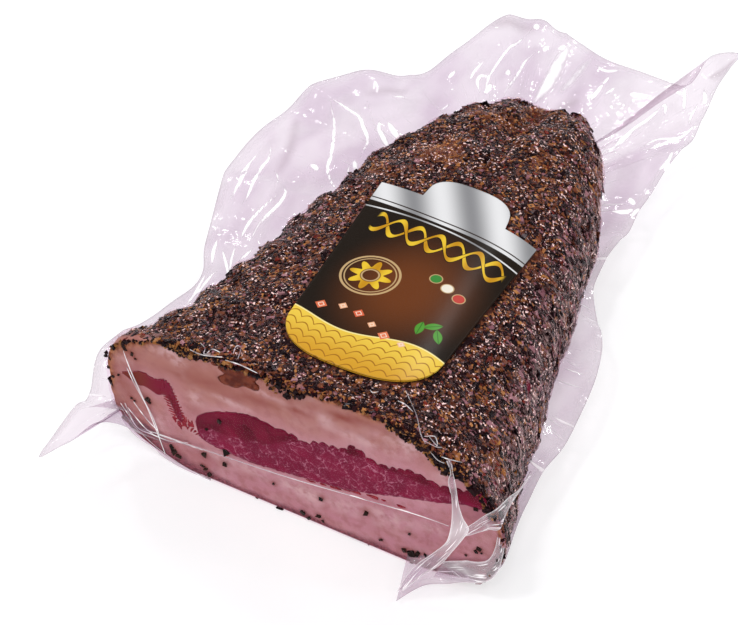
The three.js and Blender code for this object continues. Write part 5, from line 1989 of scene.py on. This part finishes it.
# %% [markdown]
# Floor, camera and light.
# The jowl is shown on a white studio table, seen from its cut end and well above. The world lights
# everything evenly, and a few soft boxes add the glints that make film look like film: smaller boxes
# give brighter, sharper streaks than one large one.

# %% Floor and camera
CAMERA_AZIMUTH = math.radians(28.0)
CAMERA_ELEVATION = math.radians(47.0)
CAMERA_DISTANCE = 1.0
CAMERA_TARGET = (-27.009, 100.0, -4.949)
CAMERA_LENS = 132.26


def towards(azimuth, elevation):
    """The direction from the scene's middle at an azimuth and an elevation in radians."""
    return np.array([math.sin(azimuth) * math.cos(elevation), -math.cos(azimuth) * math.cos(elevation),
                     math.sin(elevation)])


def aimed(thing, place, target):
    """Puts an object at a place and turns its -Z axis to a target."""
    thing.location = place
    away = Vector(place) - Vector(target)
    thing.rotation_euler = away.to_track_quat("Z", "Y").to_euler()
    bpy.context.scene.collection.objects.link(thing)


target = in_frame(CAMERA_TARGET)
camera = bpy.data.objects.new("camera", bpy.data.cameras.new("camera"))
camera.data.lens = CAMERA_LENS
camera.data.sensor_width = 36.0
camera.data.clip_start, camera.data.clip_end = 0.01, 50.0
aimed(camera, target + towards(CAMERA_AZIMUTH, CAMERA_ELEVATION) * CAMERA_DISTANCE, target)
bpy.context.scene.camera = camera

FLOOR_REACH = 8.0
FLOOR_CLOUD = 60.0
floor_corners = [(FLOOR_REACH * i, FLOOR_REACH * j, 0) for i, j in ((-1, -1), (1, -1), (1, 1), (-1, 1))]
floor_mesh = bpy.data.meshes.new("floor")
floor_mesh.from_pydata(floor_corners, [], [(0, 1, 2, 3)])
floor = bpy.data.objects.new("floor", floor_mesh)
bpy.context.scene.collection.objects.link(floor)
floor_material, floor_tree, floor_shader = new_material("white_table", Roughness=0.8, Emission_Strength=0.56)
cloudy = mottled(floor_tree, FLOOR_CLOUD)
feed(floor_shader, Base_Color=mixed(cloudy, "c4c4c6", "c8c8ca"),
     Emission_Color=mixed(cloudy, "fdfdfe", "ffffff"))
floor.data.materials.append(floor_material)
print("the camera looks at", target.round(4), "from", CAMERA_DISTANCE, "m")

# %% Lights
WORLD_LIGHT = 0.42
LAMP_SIZE = 0.13
LAMP_DISTANCE = 1.35
LAMP_AIM = (0, 0, 0.03)
# Azimuth and elevation in degrees and power in watts.
LAMPS = [(-25, 70, 2.6), (20, 58, 1.5), (62, 48, 1.3), (105, 42, 1.2), (150, 50, 1.6), (-170, 44, 1.5),
         (-128, 50, 1.4), (-80, 42, 1.3), (-50, 30, 0.9)]
for number, (azimuth, elevation, power) in enumerate(LAMPS):
    lamp = bpy.data.lights.new("soft_box_" + str(number), "AREA")
    lamp.size = LAMP_SIZE
    lamp.energy = power
    direction = towards(math.radians(azimuth), math.radians(elevation))
    aimed(bpy.data.objects.new(lamp.name, lamp), direction * LAMP_DISTANCE, LAMP_AIM)
world = bpy.data.worlds.new("studio")
bpy.context.scene.world = world
world.use_nodes = True
world.node_tree.nodes["Background"].inputs["Color"].default_value = (1.0, 1.0, 1.0, 1.0)
world.node_tree.nodes["Background"].inputs["Strength"].default_value = WORLD_LIGHT
bpy.context.scene.view_settings.view_transform = "Standard"
print(len(LAMPS), "soft boxes and an even white world")
